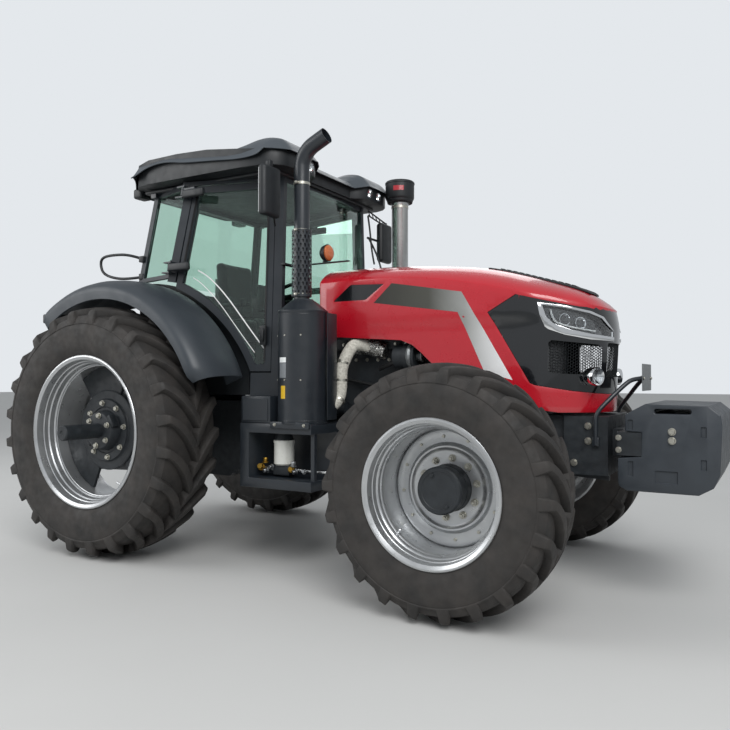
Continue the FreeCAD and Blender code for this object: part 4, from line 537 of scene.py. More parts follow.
def bolt(across, height, washer=0.0):
    """A hexagon head on its washer, standing up from the origin."""
    lone()
    bpy.ops.mesh.primitive_cylinder_add(vertices=6, radius=across / 2 / cos(pi / 6), depth=height,
                                        location=(0, 0, height / 2 + washer))
    head = bpy.context.object
    bpy.ops.object.transform_apply(location=True)
    bevel(head, across * 0.06, 1)
    if washer:
        lone()
        bpy.ops.mesh.primitive_cylinder_add(vertices=20, radius=across * 0.72, depth=washer * 1.2,
                                            location=(0, 0, washer * 0.6))
        plain = bpy.context.object
        bpy.ops.object.transform_apply(location=True)
        bevel(plain, washer * 0.25, 1)
        head = together([head, plain])
    return head


def facing(point, direction, turn=0.0, size=1.0):
    """The matrix that stands a piece at a point, its own up along a direction."""
    stand = Vector(direction).normalized().to_track_quat("Z", "Y").to_matrix().to_4x4()
    place = Matrix.Translation(Vector(point)) @ stand
    return place @ Matrix.Rotation(turn, 4, "Z") @ Matrix.Scale(size, 4)


def bolted(name, body, head, places):
    """A set of zinc-plated bolts, one head copied to each of its places."""
    return ready(stamped(head, places), name, ZINC, body=body)


def round_places(count, radius, centre, out, start=0.0):
    """Matrices for a ring of bolts round an axle along y, facing out along it."""
    places = []
    for index in range(count):
        angle = start + 2 * pi * index / count
        point = Vector(centre) + Vector((radius * cos(angle), 0, radius * sin(angle)))
        places.append(facing(point, (0, out, 0), angle))
    return places


print("helpers ready")

# %% [markdown]
# Each tyre is a moulded carcass with bars of rubber in a V, the point of the V meeting the
# ground first. The carcass is one profile spun about the axle. One bar is shaped from a
# grid that is closed into a tapering block, then copied round, half a step apart on the two
# sides. All of it is joined into one piece, since the real tyre is one moulding.

# %% Tyres
CARCASS = ((0.956, 0.10), (0.985, 0.22), (1.0, 0.36), (0.998, 0.48), (0.984, 0.575), (0.970, 0.605),
           (0.983, 0.622), (0.978, 0.640), (0.955, 0.655), (0.925, 0.715), (0.87, 0.775), (0.72, 0.812),
           (0.35, 0.832), (0.0, 0.837))


def tyre_carcass(radius, half, bead, bore, lip):
    """The carcass's closed profile from bead to bead, as (across, radius)."""
    rise = radius - lip
    right = [(bead, bore), (bead, lip)] + [(half * a, lip + rise * h) for a, h in CARCASS]
    return right + [(-a, r) for a, r in reversed(right[:-1])]


def tyre_bar(radius, half, lip, sweep, thick, side):
    """One lug: from the middle of the tread, curving out to the shoulder and down its side."""
    rise = radius - lip
    drop = radius * 0.035
    edge = half * 0.88
    rows = []
    stations = [(-0.06, 0.98, 0), (0.12, 0.985, 0), (0.32, 0.99, 0), (0.52, 1.0, 0), (0.72, 1.0, 0),
                (0.90, 1.0, 0), (1.0, 1.0, 0), (1.07, 1.12, 1), (1.10, 1.3, 2), (1.11, 1.5, 3)]
    for share, wide, turn_down in stations:
        across = edge * min(share, 1.0)
        inward = 1 - min(share, 1.0)
        angle = sweep * (0.42 * inward + 0.58 * inward * inward)
        slope = sweep * radius * (0.42 + 1.16 * inward) / edge
        spread = thick * wide * min(sqrt(1 + slope * slope), 1.75) / radius
        crown = radius - drop * min(share, 1.0) ** 2
        base = lip + rise * (0.82 - 0.06 * max(share, 0) ** 3)
        if turn_down:
            top = (half * (0.945, 0.985, 0.992)[turn_down - 1],
                   lip + rise * (0.865, 0.735, 0.618)[turn_down - 1])
            foot = (half * (0.86, 0.905, 0.94)[turn_down - 1],
                    lip + rise * (0.74, 0.66, 0.60)[turn_down - 1])
        else:
            top = (across, crown)
            foot = (across * 0.97, base)
        row = []
        for (a, r), width in ((foot, 0.72), (top, 0.5), (top, -0.5), (foot, -0.72), (foot, 0.72)):
            turn = angle + spread * width
            row.append(Vector((r * sin(turn), side * a, r * cos(turn))))
        rows.append(row)
    bar = surface(rows, close=True)
    return bevel(bar, thick * 0.11, 2, 25)


# Radius, half width, half distance of the beads, bore, lip, lugs on a side and a lug's thickness.
FRONT_TYRE = (0.700, 0.215, 0.1922, 0.3813, 0.412, 22, 0.045)
REAR_TYRE = (0.923, 0.265, 0.2272, 0.5337, 0.5644, 24, 0.052)


def tyre(name, side, centre, radius, half, bead, bore, lip, count, thick):
    carcass = turned(tyre_carcass(radius, half, bead, bore, lip), ORIGIN, "y", 120)
    step = 2 * pi / count
    pieces = [carcass]
    for edge, shift in ((1, 0.0), (-1, 0.5)):
        bar = tyre_bar(radius, half, lip, step * 1.06, thick, edge)
        pieces.append(stamped(bar, [Matrix.Rotation(step * (index + shift), 4, "Y")
                                    for index in range(count)]))
    whole = together(pieces)
    whole.data.transform(Matrix.Translation(centre))
    return ready(whole, "tyre_with_lugs_" + name, TYRE_RUBBER, ("tyre_" + name,), body="wheel_" + name)


for name, side in SIDES:
    front = tyre("front_" + name, side, front_wheel(side), *FRONT_TYRE)
    rear = tyre("rear_" + name, side, rear_wheel(side), *REAR_TYRE)
    print(name, "tyres of", len(front.data.polygons), "and", len(rear.data.polygons), "faces")

# %% [markdown]
# The rims are rolled from sheet steel: a lip, a seat for the bead, and then steps down to the
# well, each step a bright ring of light. A pressed disc with ridges and two rings of bolts
# closes the front rim; the rear one is clamped on a cast centre with three broad lobes that
# slides along a bar axle. Both are spun from their profiles.

# %% Wheel rims
def barrel(half, seat, well, steps):
    """Closed profile of a rim's sheet: the visible inside with its steps, and the outside."""
    inside = [(half - 0.006, seat + 0.0255), (half - 0.002, seat + 0.022), (half - 0.0005, seat + 0.012),
              (half - 0.008, seat - 0.001), (half - 0.012, seat - 0.007)]
    inside += [(half * a, r) for a, r in steps]
    inside += [(-half * 0.64, well - 0.010), (-half * 0.80, seat - 0.010), (-half + 0.012, seat - 0.008),
               (-half + 0.0005, seat + 0.012), (-half + 0.006, seat + 0.0255)]
    outside = [(-half + 0.0105, seat + 0.024), (-half + 0.0105, seat + 0.0002),
               (-half * 0.78, seat - 0.001), (-half * 0.62, well), (half * 0.36, well),
               (half * 0.56, seat - 0.001), (half - 0.0105, seat + 0.0002), (half - 0.0105, seat + 0.024)]
    return inside + outside


FRONT_STEPS = ((0.80, 0.3685), (0.735, 0.3672), (0.72, 0.3632), (0.70, 0.3628), (0.665, 0.3602),
               (0.60, 0.3570), (0.575, 0.3520), (0.55, 0.3480), (0.50, 0.3452), (0.46, 0.3448),
               (0.43, 0.3402), (0.40, 0.3375), (0.34, 0.3360))
REAR_STEPS = ((0.80, 0.5200), (0.74, 0.5185), (0.72, 0.5130), (0.69, 0.5120), (0.60, 0.5085),
              (0.565, 0.5010), (0.53, 0.5000), (0.42, 0.4960), (0.385, 0.4885), (0.35, 0.4860),
              (0.34, 0.4820))
FRONT_DISC = ((-0.106, 0.3380), (-0.094, 0.3330), (-0.086, 0.3240), (-0.084, 0.3120), (-0.086, 0.3000),
              (-0.088, 0.2780), (-0.086, 0.2560), (-0.080, 0.2490), (-0.072, 0.2440), (-0.066, 0.2360),
              (-0.068, 0.2270), (-0.078, 0.2180), (-0.083, 0.2080), (-0.084, 0.1960), (-0.084, 0.1345),
              (-0.098, 0.1345), (-0.098, 0.2000), (-0.090, 0.2200), (-0.082, 0.2340), (-0.092, 0.2540),
              (-0.102, 0.2700), (-0.100, 0.3100), (-0.108, 0.3280), (-0.112, 0.3380))

for name, side in SIDES:
    hub = front_wheel(side)
    sheet = turned([(side * a, r) for a, r in barrel(0.2025, 0.381, 0.346, FRONT_STEPS)], hub, "y", 128)
    disc = turned([(side * a, r) for a, r in FRONT_DISC], hub, "y", 128)
    rim = ready(together([sheet, disc]), "rolled_rim_front_" + name, RIM_SILVER, ("rim_front_" + name,),
                24, body="wheel_front_" + name)
    bolted("rim_bolts_front_" + name, "wheel_front_" + name, bolt(0.017, 0.008),
           round_places(12, 0.288, hub + Vector((0, side * -0.087, 0)), side, 0.12))
    hub = rear_wheel(side)
    sheet = turned([(side * a, r) for a, r in barrel(0.2375, 0.5334, 0.492, REAR_STEPS)], hub, "y", 128)
    ready(sheet, "rolled_rim_rear_" + name, RIM_SILVER, ("rim_rear_" + name,),
          24, body="wheel_rear_" + name)
print("rims spun with", len(rim.data.polygons), "faces on the front ones")

# %% [markdown]
# The front hub is a planetary drive: a drum behind the disc, ten studs with nuts, and a
# machined cap in front. The valve stands in the barrel, low and to the rear.

# %% Front hubs, nuts and valves
def wheel_nut():
    """A nut on its cone, with the end of the stud in it."""
    nut = bolt(0.030, 0.020, 0.004)
    stud = turned([(0, 0.0), (0.034, 0.0), (0.034, 0.0075), (0.031, 0.0095), (0, 0.0095)],
                  ORIGIN, "z", 12)
    return together([nut, stud])


def tyre_valve(name, place, lean):
    """A valve's stem with its cap, standing in the barrel of a rim."""
    stem = turned([(0, 0), (0, 0.013), (0.012, 0.013), (0.016, 0.006), (0.044, 0.005), (0.046, 0.007),
                   (0.060, 0.007), (0.062, 0)], ORIGIN, "z", 16)
    ready(stamped(stem, [facing(place, lean)]), "tyre_valve_" + name, CHROME, body="wheel_" + name)


for name, side in SIDES:
    hub = front_wheel(side)
    cap = [(-0.194, 0.063), (-0.194, 0.188), (-0.176, 0.204), (-0.150, 0.205), (-0.146, 0.198),
           (-0.118, 0.198), (-0.114, 0.205), (-0.098, 0.205), (-0.098, 0.1335), (-0.030, 0.1320),
           (-0.026, 0.1285), (-0.016, 0.1285), (-0.012, 0.1320), (0.050, 0.1320), (0.060, 0.1230),
           (0.060, 0.1060), (0.0575, 0.1030), (0.0575, 0.0), (-0.044, 0.0), (-0.044, 0.063)]
    body = turned([(side * a, r) for a, r in cap], hub, "y", 96)
    plugs = []
    for angle in (radians(118), radians(-62)):
        spot = hub + Vector((0.092 * cos(angle), side * 0.0575, 0.092 * sin(angle)))
        plugs.append(facing(spot, (0, side, 0)))
    plug = stamped(bolt(0.022, 0.006, 0.002), plugs)
    ready(together([body, plug]), "planetary_hub_" + name, CASTING_BLACK, ("hub_front_" + name,),
          28, body="wheel_front_" + name)
    bolted("wheel_nuts_front_" + name, "wheel_front_" + name, wheel_nut(),
           round_places(10, 0.167, hub + Vector((0, side * -0.084, 0)), side, 0.2))
    tyre_valve("front_" + name, hub + Vector((-0.24, side * 0.085, -0.255)), (0.55, side * 0.45, 0.58))
print("front hubs done")

# %% [markdown]
# The rear centre is an iron casting: a hub clamped on the bar axle, a flange with eight bolts,
# and three broad lobes that reach out to the barrel. The bar ends well outboard of the tyre.

# %% Rear wheel centres
BARREL_INSIDE = 0.4815


def lobe(middle, reach, side):
    """One lobe in side view, from the hub out to the barrel, as a thick plate."""
    half = radians(31)
    points = []
    corners = [(reach, step / 5) for step in range(-5, 6)]
    corners += [(0.30, 1.06), (0.14, 1.6), (0.14, -1.6), (0.30, -1.06)]
    for radius, share in corners:
        points.append((radius * cos(middle + half * share), radius * sin(middle + half * share)))
    return outline(points, "y", side * -0.034, side * -0.006, 0.006)


for name, side in SIDES:
    hub = rear_wheel(side)
    pieces = [lobe(radians(angle), BARREL_INSIDE, side) for angle in (-22, 98, 218)]
    face = [(-0.075, 0.055), (-0.075, 0.150), (-0.050, 0.160), (-0.045, 0.300), (0.002, 0.300),
            (0.008, 0.292), (0.008, 0.238), (0.014, 0.232), (0.026, 0.228), (0.026, 0.176),
            (0.020, 0.170), (0.020, 0.152), (0.030, 0.148), (0.074, 0.142), (0.090, 0.132),
            (0.095, 0.118), (0.095, 0.055)]
    pieces.append(turned([(side * a, r) for a, r in face], ORIGIN, "y", 96))
    bar = [(-0.399, 0.0), (-0.399, 0.0548), (0.398, 0.0548), (0.406, 0.047), (0.406, 0.020),
           (0.400, 0.014), (0.400, 0.0)]
    pieces.append(turned([(side * a, r) for a, r in bar], ORIGIN, "y", 64))
    clamps = [Matrix.Translation((0, side * 0.062, 0)) @ Matrix.Rotation(radians(turn), 4, "Y")
              @ Matrix.Translation((0, 0, 0.128)) for turn in (60, 240)]
    pieces.append(stamped(block((-0.05, -0.028, 0), (0.05, 0.028, 0.03), 0.006), clamps))
    whole = together(pieces)
    whole.data.transform(Matrix.Translation(hub))
    ready(whole, "cast_centre_rear_" + name, CASTING_BLACK, ("hub_rear_" + name,),
          body="wheel_rear_" + name)
    studs = round_places(8, 0.203, hub + Vector((0, side * 0.026, 0)), side, 0.15)
    studs += round_places(6, 0.112, hub + Vector((0, side * 0.095, 0)), side, 0.4)
    bolted("wheel_bolts_rear_" + name, "wheel_rear_" + name, bolt(0.030, 0.016, 0.004), studs)
    tyre_valve("rear_" + name, hub + Vector((0.30, side * 0.115, -0.395)), (-0.55, side * 0.45, 0.6))
print("rear wheel centres done")

# %% [markdown]
# The hood follows a few smooth lines: the shoulder where side meets lid, the crown along the
# middle, and the plan of the nose. Each is kept as a short table of places read from the
# photograph, and one function reads a smooth curve through such a table. At its foot and at its
# top the nose leans back, and under the shoulder the sides tuck in a little.

# %% Lines of the hood
def curve(table, x):
    """Height at x of a smooth line through a table of (x, height)."""
    if x <= table[0][0]:
        return table[0][1]
    if x >= table[-1][0]:
        return table[-1][1]
    i = max(k for k in range(len(table) - 1) if table[k][0] <= x)
    (x0, y0), (x1, y1) = table[i], table[i + 1]

    def slope(k):
        a, b = table[max(k - 1, 0)], table[min(k + 1, len(table) - 1)]
        return (b[1] - a[1]) / (b[0] - a[0]) * (x1 - x0)
    t = (x - x0) / (x1 - x0)
    return (y0 * (1 + 2 * t) * (1 - t) ** 2 + slope(i) * t * (1 - t) ** 2 + y1 * t * t * (3 - 2 * t)
            + slope(i + 1) * t * t * (t - 1))


SHOULDER = ((1.52, 1.990), (2.17, 1.986), (2.68, 1.914), (3.25, 1.794), (3.51, 1.742))
CROWN = ((1.52, 2.126), (1.94, 2.120), (2.35, 2.096), (2.72, 2.050), (3.07, 1.953), (3.33, 1.868),
         (3.43, 1.812), (3.51, 1.744))
HALF_WIDTH = ((1.50, 0.440), (2.2, 0.446), (2.75, 0.446), (3.00, 0.438), (3.06, 0.434), (3.12, 0.420),
              (3.19, 0.392), (3.26, 0.358), (3.33, 0.319), (3.39, 0.280), (3.44, 0.234), (3.475, 0.178),
              (3.497, 0.110), (3.507, 0.050), (3.509, 0.0))
LEAN = ((1.0, 0.034), (1.3, 0.018), (1.6, 0.003), (1.72, 0.018), (1.85, 0.060))
plan = [(1.524 + 0.0568 * index, curve(HALF_WIDTH, 1.524 + 0.0568 * index)) for index in range(26)]
NOSE_START = 3.0
plan += [point for point in HALF_WIDTH if point[0] >= NOSE_START]
NOSE_PLAN = [(x, -y) for x, y in plan] + [(x, y) for x, y in reversed(plan[:-1])]
HOOD_FOOT = 1.06
LEVELS = 18


def lean_back(x, z):
    """How far the nose leans back from its plan at a height."""
    return curve(LEAN, z) * max(0.0, x - NOSE_START) / 0.5


def hood_wall(out, wall):
    """The hood's sides as one U-shaped sheet round the nose, moved outwards, with its own wall."""
    rows = []
    for index, (x, y) in enumerate(NOSE_PLAN):
        before, after = NOSE_PLAN[max(index - 1, 0)], NOSE_PLAN[min(index + 1, len(NOSE_PLAN) - 1)]
        run = Vector((after[0] - before[0], after[1] - before[1])).normalized()
        loop = []
        for shift, order in ((out, range(LEVELS + 1)), (out - wall, range(LEVELS, -1, -1))):
            for level in order:
                z = HOOD_FOOT + (curve(SHOULDER, x) - HOOD_FOOT) * level / LEVELS
                back = lean_back(x, z)
                fade = 1 if x < NOSE_START else max(0.0, (3.2 - x) / 0.2)
                tuck = 0.014 * min(1.0, max(0.0, (1.705 - z) / 0.05)) * fade
                loop.append(at(x + run.y * shift - back, y * (1 - tuck / 0.44) - run.x * shift, z))
        rows.append(loop + loop[:1])
    return surface(rows, close=True)


def side_view(points, half=0.7):
    """A block through the tractor with an outline given in side view from the rear axle."""
    return outline([(x + REAR_AXLE_X, z) for x, z in points], "y", -half, half)


def hood_patch(points, out, wall, more=()):
    """What a side-view outline keeps of the hood's sides, less some further outlines."""
    patch = cut(hood_wall(out, wall), side_view(points), "INTERSECT")
    for hole in more:
        patch = cut(patch, side_view(hole))
    return patch


print("the hood is", round(2 * HALF_WIDTH[1][1], 3), "m wide")

# %% [markdown]
# The sides are cut from that sheet. The red sheet metal sweeps down from the rear, over the
# wheel, to the chin under the nose. A gloss black mask fills the front between shoulder and
# chin, and a black pane sits in the rear top corner. The rims of the cuts are rounded a
# little, as folded sheet metal is.

# %% Hood sides and mask
RED_EDGE = ((1.52, 1.613), (2.172, 1.570), (2.26, 1.535), (2.33, 1.478), (2.42, 1.395), (2.55, 1.315),
            (3.06, 1.148), (3.14, 1.116), (3.22, 1.1035), (3.54, 1.1035), (3.54, 2.1), (1.52, 2.1))
MASK_EDGE = ((2.797, 1.728), (2.995, 1.842), (3.03, 1.850), (3.30, 1.800), (3.54, 1.755), (3.54, 1.2165),
             (3.46, 1.2165), (3.30, 1.236), (3.09, 1.272), (3.06, 1.285))
PANE_EDGE = ((1.643, 1.855), (1.652, 1.868), (1.772, 1.960), (1.788, 1.967), (2.049, 1.957),
             (1.915, 1.862), (1.899, 1.855))
BAND_EDGE = ((1.970, 1.831), (2.111, 1.958), (2.62, 1.870), (2.642, 1.834), (2.952, 1.301),
             (2.769, 1.352), (2.593, 1.740))


def grown(points, by):
    """An outline moved out from its middle by a distance."""
    middle = sum((Vector(point) for point in points), Vector((0, 0))) / len(points)
    return [tuple(Vector(point) + (Vector(point) - middle).normalized() * by) for point in points]


side = hood_patch(RED_EDGE, 0.0, 0.004, (grown(MASK_EDGE, 0.003), PANE_EDGE))
ready(bevel(side, 0.0012, 2, 50), "hood_sides", RED_ENAMEL, ("hood_shell",), 30, body="hood")
rear_pane = hood_patch(PANE_EDGE, -0.003, 0.003)
ready(rear_pane, "hood_rear_panes", MASK_GLOSS, body="hood")

LAMP_HOLE = ((3.108, 1.777), (3.122, 1.700), (3.150, 1.628), (3.170, 1.612), (3.260, 1.578),
             (3.400, 1.548), (3.500, 1.541), (3.500, 1.600), (3.455, 1.690), (3.396, 1.722),
             (3.26, 1.756))
SIDE_MESH = ((3.165, 1.360), (3.180, 1.345), (3.420, 1.330), (3.440, 1.345), (3.448, 1.500),
             (3.430, 1.518), (3.185, 1.545), (3.168, 1.530))
mask = hood_patch(MASK_EDGE, -0.002, 0.005)
mask = cut(mask, cut(side_view(LAMP_HOLE), block(at(2.9, -0.105, 1.3), at(3.7, 0.105, 2.0), 0)))
mask = cut(mask, cut(side_view(SIDE_MESH), block(at(2.9, -0.20, 1.3), at(3.7, 0.20, 2.0), 0)))
mask = cut(mask, block(at(3.3, -0.165, 1.32), at(3.7, 0.165, 1.53), 0.012))
ready(bevel(mask, 0.001, 1, 50), "nose_mask_shell", MASK_GLOSS, ("nose_mask",), 30, body="hood")
print("sides of", len(side.data.polygons), "and mask of", len(mask.data.polygons), "faces")

# %% [markdown]
# A printed band runs along the side and down to the wheel. It is a vinyl film laid on the
# enamel, so it is cut from the same sheet, moved out by less than a millimetre. Its colour
# fades from graphite to silver along the hood, which a ramp on the place's X gives.

# %% Band on the hood's side
BAND_FILM, skin, place = new_finish("fading_vinyl_film", Metallic=0.35, Coat_Weight=0.4,
                                    Coat_Roughness=0.1)
spread = node(BAND_FILM, "ShaderNodeSeparateXYZ", {0: place})
fade = node(BAND_FILM, "ShaderNodeMapRange", {"Value": spread.outputs["X"],
                                              "From Min": 1.97 + REAR_AXLE_X,
                                              "From Max": 2.90 + REAR_AXLE_X})
ramp = node(BAND_FILM, "ShaderNodeValToRGB", {"Fac": fade.outputs["Result"]})
for spot, code in ((0.0, "26251F"), (0.45, "4A4A43"), (0.72, "9C9D9A"), (1.0, "D3D5D6")):
    stop = ramp.color_ramp.elements[0] if spot == 0 else ramp.color_ramp.elements.new(spot)
    stop.position = spot
    stop.color = hue(code)
ramp.color_ramp.elements.remove(ramp.color_ramp.elements[-1])
BAND_FILM.node_tree.links.new(ramp.outputs["Color"], skin.inputs["Base Color"])
worn_gloss(BAND_FILM, skin, place, 0.3, 0.4, 60)
ready(hood_patch(BAND_EDGE, 0.0008, 0.0030), "hood_bands", BAND_FILM, body="hood")
print("band laid on")

# %% [markdown]
# The lid is one pressing. It is laid out on lines across, from the shoulder on one side over
# the crown to the other, and its front edge follows the nose. A flange is turned down at the
# sides and in front. The black air outlet on top has slats across.

# %% Hood lid
def nose_x(y):
    """How far forward the nose reaches at a distance from the middle."""
    reach = [(width, x) for x, width in reversed(HALF_WIDTH) if x >= NOSE_START]
    return curve(reach, abs(y))


def lid_rise(x, y):
    """Height of the lid at a place."""
    part = min(1.0, abs(y) / max(curve(HALF_WIDTH, x), 0.0001))
    edge = curve(SHOULDER, x)
    return edge + (curve(CROWN, x) - edge) * (1 - 0.80 * part ** 2.6 - 0.20 * part ** 12)


def lid_point(share, across, drop=0.0):
    """A place on the lid: share along from rear to nose, across from -1 to 1."""
    bend = sin(across * pi / 2) if abs(across) < 1 else across
    y_wide = 0.438 * bend
    x = LID_REAR + (nose_x(y_wide) - LID_REAR) * share
    y = y_wide
    if x < NOSE_START:
        y *= min(1.0, (curve(HALF_WIDTH, x) + 0.002) / 0.440)
    return at(x - lean_back(x, curve(SHOULDER, x)), y, lid_rise(x, y) + 0.001 - drop)


LID_REAR = 1.522
ALONG, ACROSS = 46, 16
rows = []
for index in range(ALONG + 1):
    share = index / ALONG
    row = [lid_point(share, across / ACROSS) for across in range(-ACROSS, ACROSS + 1)]
    low = lid_point(share, -1, 0.022), lid_point(share, 1, 0.022)
    rows.append([low[0]] + row + [low[1]])
rows.append([point + Vector((-0.002, 0, -0.022)) for point in rows[-1]])
lid = surface(rows)
modify(lid, "SOLIDIFY", thickness=0.003, offset=0)
ready(lid, "hood_lid", RED_ENAMEL, smooth=42, body="hood")


def on_lid(x, y, lift=0.0):
    """A place on the lid's skin at a distance along and across."""
    return at(x, y, lid_rise(x, y) + lift)


def lid_pad(x_low, x_high, half_low, half_high, lift, thick):
    """A flat-topped pad that lies on the lid between two stations, narrowing forwards."""
    rows = []
    for index in range(15):
        share = index / 14
        x = x_low + (x_high - x_low) * share
        half = half_low + (half_high - half_low) * share
        top = [on_lid(x, half * side / 5, lift) for side in range(-5, 6)]
        under = [point + Vector((0, 0, -thick)) for point in reversed(top)]
        rows.append(top + under + top[:1])
    return surface(rows, close=True)


vent = bevel(lid_pad(2.70, 3.36, 0.165, 0.115, 0.011, 0.016), 0.004, 2, 50)
slat = block((-0.013, -0.115, -0.002), (0.013, 0.115, 0.004), 0.0015)
places = []
for index in range(12):
    x = 2.78 + 0.043 * index
    slope = (curve(CROWN, x + 0.02) - curve(CROWN, x - 0.02)) / 0.04
    places.append(Matrix.Translation(on_lid(x, 0, 0.009)) @ Matrix.Rotation(-atan2(slope, 1), 4, "Y"))
ready(together([vent, stamped(slat, places)]), "hood_air_outlet", GRAINED_BLACK, body="hood")
print("lid of", len(lid.data.polygons), "faces")

# %% [markdown]
# The headlamps wrap round the corners of the nose. Behind the clear lens lies a black bowl with
# two chromed reflectors and a white light guide, and a chromed frame runs round it, broadest at
# the rear and the bottom. They are patches of the same sheet, each a little deeper. Two round
# spot lamps in chromed shells sit in the lower corners of the mask.

# %% Headlamps
LAMP_CORE = ((3.135, 1.762), (3.158, 1.690), (3.195, 1.648), (3.290, 1.610), (3.400, 1.582),
             (3.500, 1.566), (3.500, 1.600), (3.448, 1.680), (3.392, 1.708), (3.26, 1.742))


def lamp_patch(points, out, wall, hole=None):
    """A piece of both headlamps, clear of the middle of the nose."""
    patch = hood_patch(points, out, wall, (hole,) if hole else ())
    return cut(patch, block(at(2.9, -0.108, 1.3), at(3.7, 0.108, 2.0), 0))


frame_ring = bevel(lamp_patch(LAMP_HOLE, 0.005, 0.020, LAMP_CORE), 0.002, 2, 50)
ready(frame_ring, "headlamp_frames", CHROME, ("front_lamps",), body="hood")
ready(lamp_patch(grown(LAMP_CORE, 0.004), -0.002, 0.003), "headlamp_lenses", LENS_CLEAR, body="hood")
ready(lamp_patch(grown(LAMP_HOLE, -0.002), -0.050, 0.003), "headlamp_bowls", MASK_GLOSS, body="hood")
dishes = [facing(at(x, side * y, z), (0.75, side * 0.66, 0.02))
          for side in (1, -1) for x, y, z in ((3.245, 0.315, 1.672), (3.33, 0.268, 1.650))]
dish = turned([(-0.020, 0.004), (-0.016, 0.018), (-0.004, 0.030), (0.004, 0.035), (0.004, 0.038),
               (-0.006, 0.033), (-0.020, 0.021), (-0.026, 0.004)], ORIGIN, "z", 32)
ready(stamped(dish, dishes), "headlamp_reflectors", CHROME, body="hood")
guides = []
for side in (1, -1):
    points = [at(3.175, side * 0.372, 1.735), at(3.185, side * 0.366, 1.668),
              at(3.235, side * 0.340, 1.640), at(3.33, side * 0.286, 1.614),
              at(3.41, side * 0.222, 1.600)]
    guides.append(pipe(points, 0.006, 5, 3))
ready(together(guides), "headlamp_light_guides", VINYL_WHITE, body="hood")

bullet = turned([(0.0, 0.0), (0.0, 0.036), (0.004, 0.044), (-0.004, 0.0465), (-0.020, 0.0465),
                 (-0.055, 0.042), (-0.070, 0.032), (-0.086, 0.016), (-0.092, 0.0), (-0.088, 0.0),
                 (-0.082, 0.012), (-0.05, 0.036), (-0.006, 0.036), (-0.006, 0.0)], ORIGIN, "z", 40)
spots = [facing(at(3.446, side * 0.330, 1.322), (1, side * 0.55, -0.03), 0, 1.2) for side in (1, -1)]
ready(stamped(bullet, spots), "spot_lamp_shells", CHROME, body="hood")
glass = stamped(turned([(0.001, 0.0), (0.001, 0.0355), (0.004, 0.0355), (0.010, 0.02), (0.012, 0.0)],
                       ORIGIN, "z", 32), spots)
ready(glass, "spot_lamp_lenses", LENS_CLEAR, body="hood")
print("lamps of the nose done")

# %% [markdown]
# The openings of the mask are closed by a honeycomb. One cell is laid out flat and copied, and
# then every point is moved onto the nose, before the cell walls are given their thickness.

# %% Honeycomb
CELL_SIZE = 0.0105
CELL_WALL = 0.0048
MESH_DEPTH = -0.012


def honeycomb(low, high, bottom, top):
    """Cells between two distances round the nose from its middle, and two heights."""
    lone()
    bpy.ops.mesh.primitive_circle_add(vertices=6, radius=CELL_SIZE, fill_type="NGON")
    cell = bpy.context.object
    places = []
    step_x, step_y = CELL_SIZE * 1.5, CELL_SIZE * sqrt(3)
    for column in range(int((high - low) / step_x) + 1):
        for row in range(int((top - bottom) / step_y) + 1):
            up = (row + 0.5 * (column % 2)) * step_y
            places.append(Matrix.Translation((low + column * step_x, bottom + up, 0)))
    web = stamped(cell, places)
    edit(web)
    bpy.ops.mesh.remove_doubles(threshold=CELL_SIZE * 0.2)
    bpy.ops.object.mode_set(mode="OBJECT")
    steps = [0.0]
    for (x0, y0), (x1, y1) in zip(NOSE_PLAN, NOSE_PLAN[1:]):
        steps.append(steps[-1] + hypot(x1 - x0, y1 - y0))
    middle = steps[-1] / 2
    x_line = [(step, x) for step, (x, y) in zip(steps, NOSE_PLAN)]
    y_line = [(step, y) for step, (x, y) in zip(steps, NOSE_PLAN)]
    for vertex in web.data.vertices:
        along, z = vertex.co.x + middle, vertex.co.y
        x, y = curve(x_line, along), curve(y_line, along)
        ahead = along + 0.01
        run = Vector((curve(x_line, ahead) - x, curve(y_line, ahead) - y)).normalized()
        vertex.co = at(x + run.y * MESH_DEPTH - lean_back(x, z), y - run.x * MESH_DEPTH, z)
    modify(web, "WIREFRAME", thickness=CELL_WALL, use_even_offset=False, use_replace=True)
    return web


meshes = [honeycomb(-0.185, 0.18, 1.31, 1.54), honeycomb(0.215, 0.56, 1.325, 1.55),
          honeycomb(-0.56, -0.215, 1.325, 1.55)]
ready(together(meshes), "nose_honeycomb", GRAINED_BLACK, smooth=20, body="hood")
print("honeycomb of", len(bpy.context.object.data.polygons), "faces")

# %% [markdown]
# The fenders are one moulding each: an inner wall beside the cab, a broad tread that runs round
# the wheel, a rolled outer edge and a lip below it. Each line across has the same few places,
# read off the photograph, and is turned round the rear axle. The lip is deeper at the rear.

# %% Rear fenders
FENDER_SECTION = ((0.712, 0.948), (0.712, 1.085), (0.722, 1.115), (0.745, 1.126), (0.790, 1.130),
                  (0.86, 1.136), (0.95, 1.132), (1.04, 1.120), (1.10, 1.100), (1.132, 1.078),
                  (1.148, 1.060), (1.155, 1.042), (1.156, 1.030))
FENDER_REAR = -38
FENDER_SWEEP = 107
FENDER_STEPS = 44


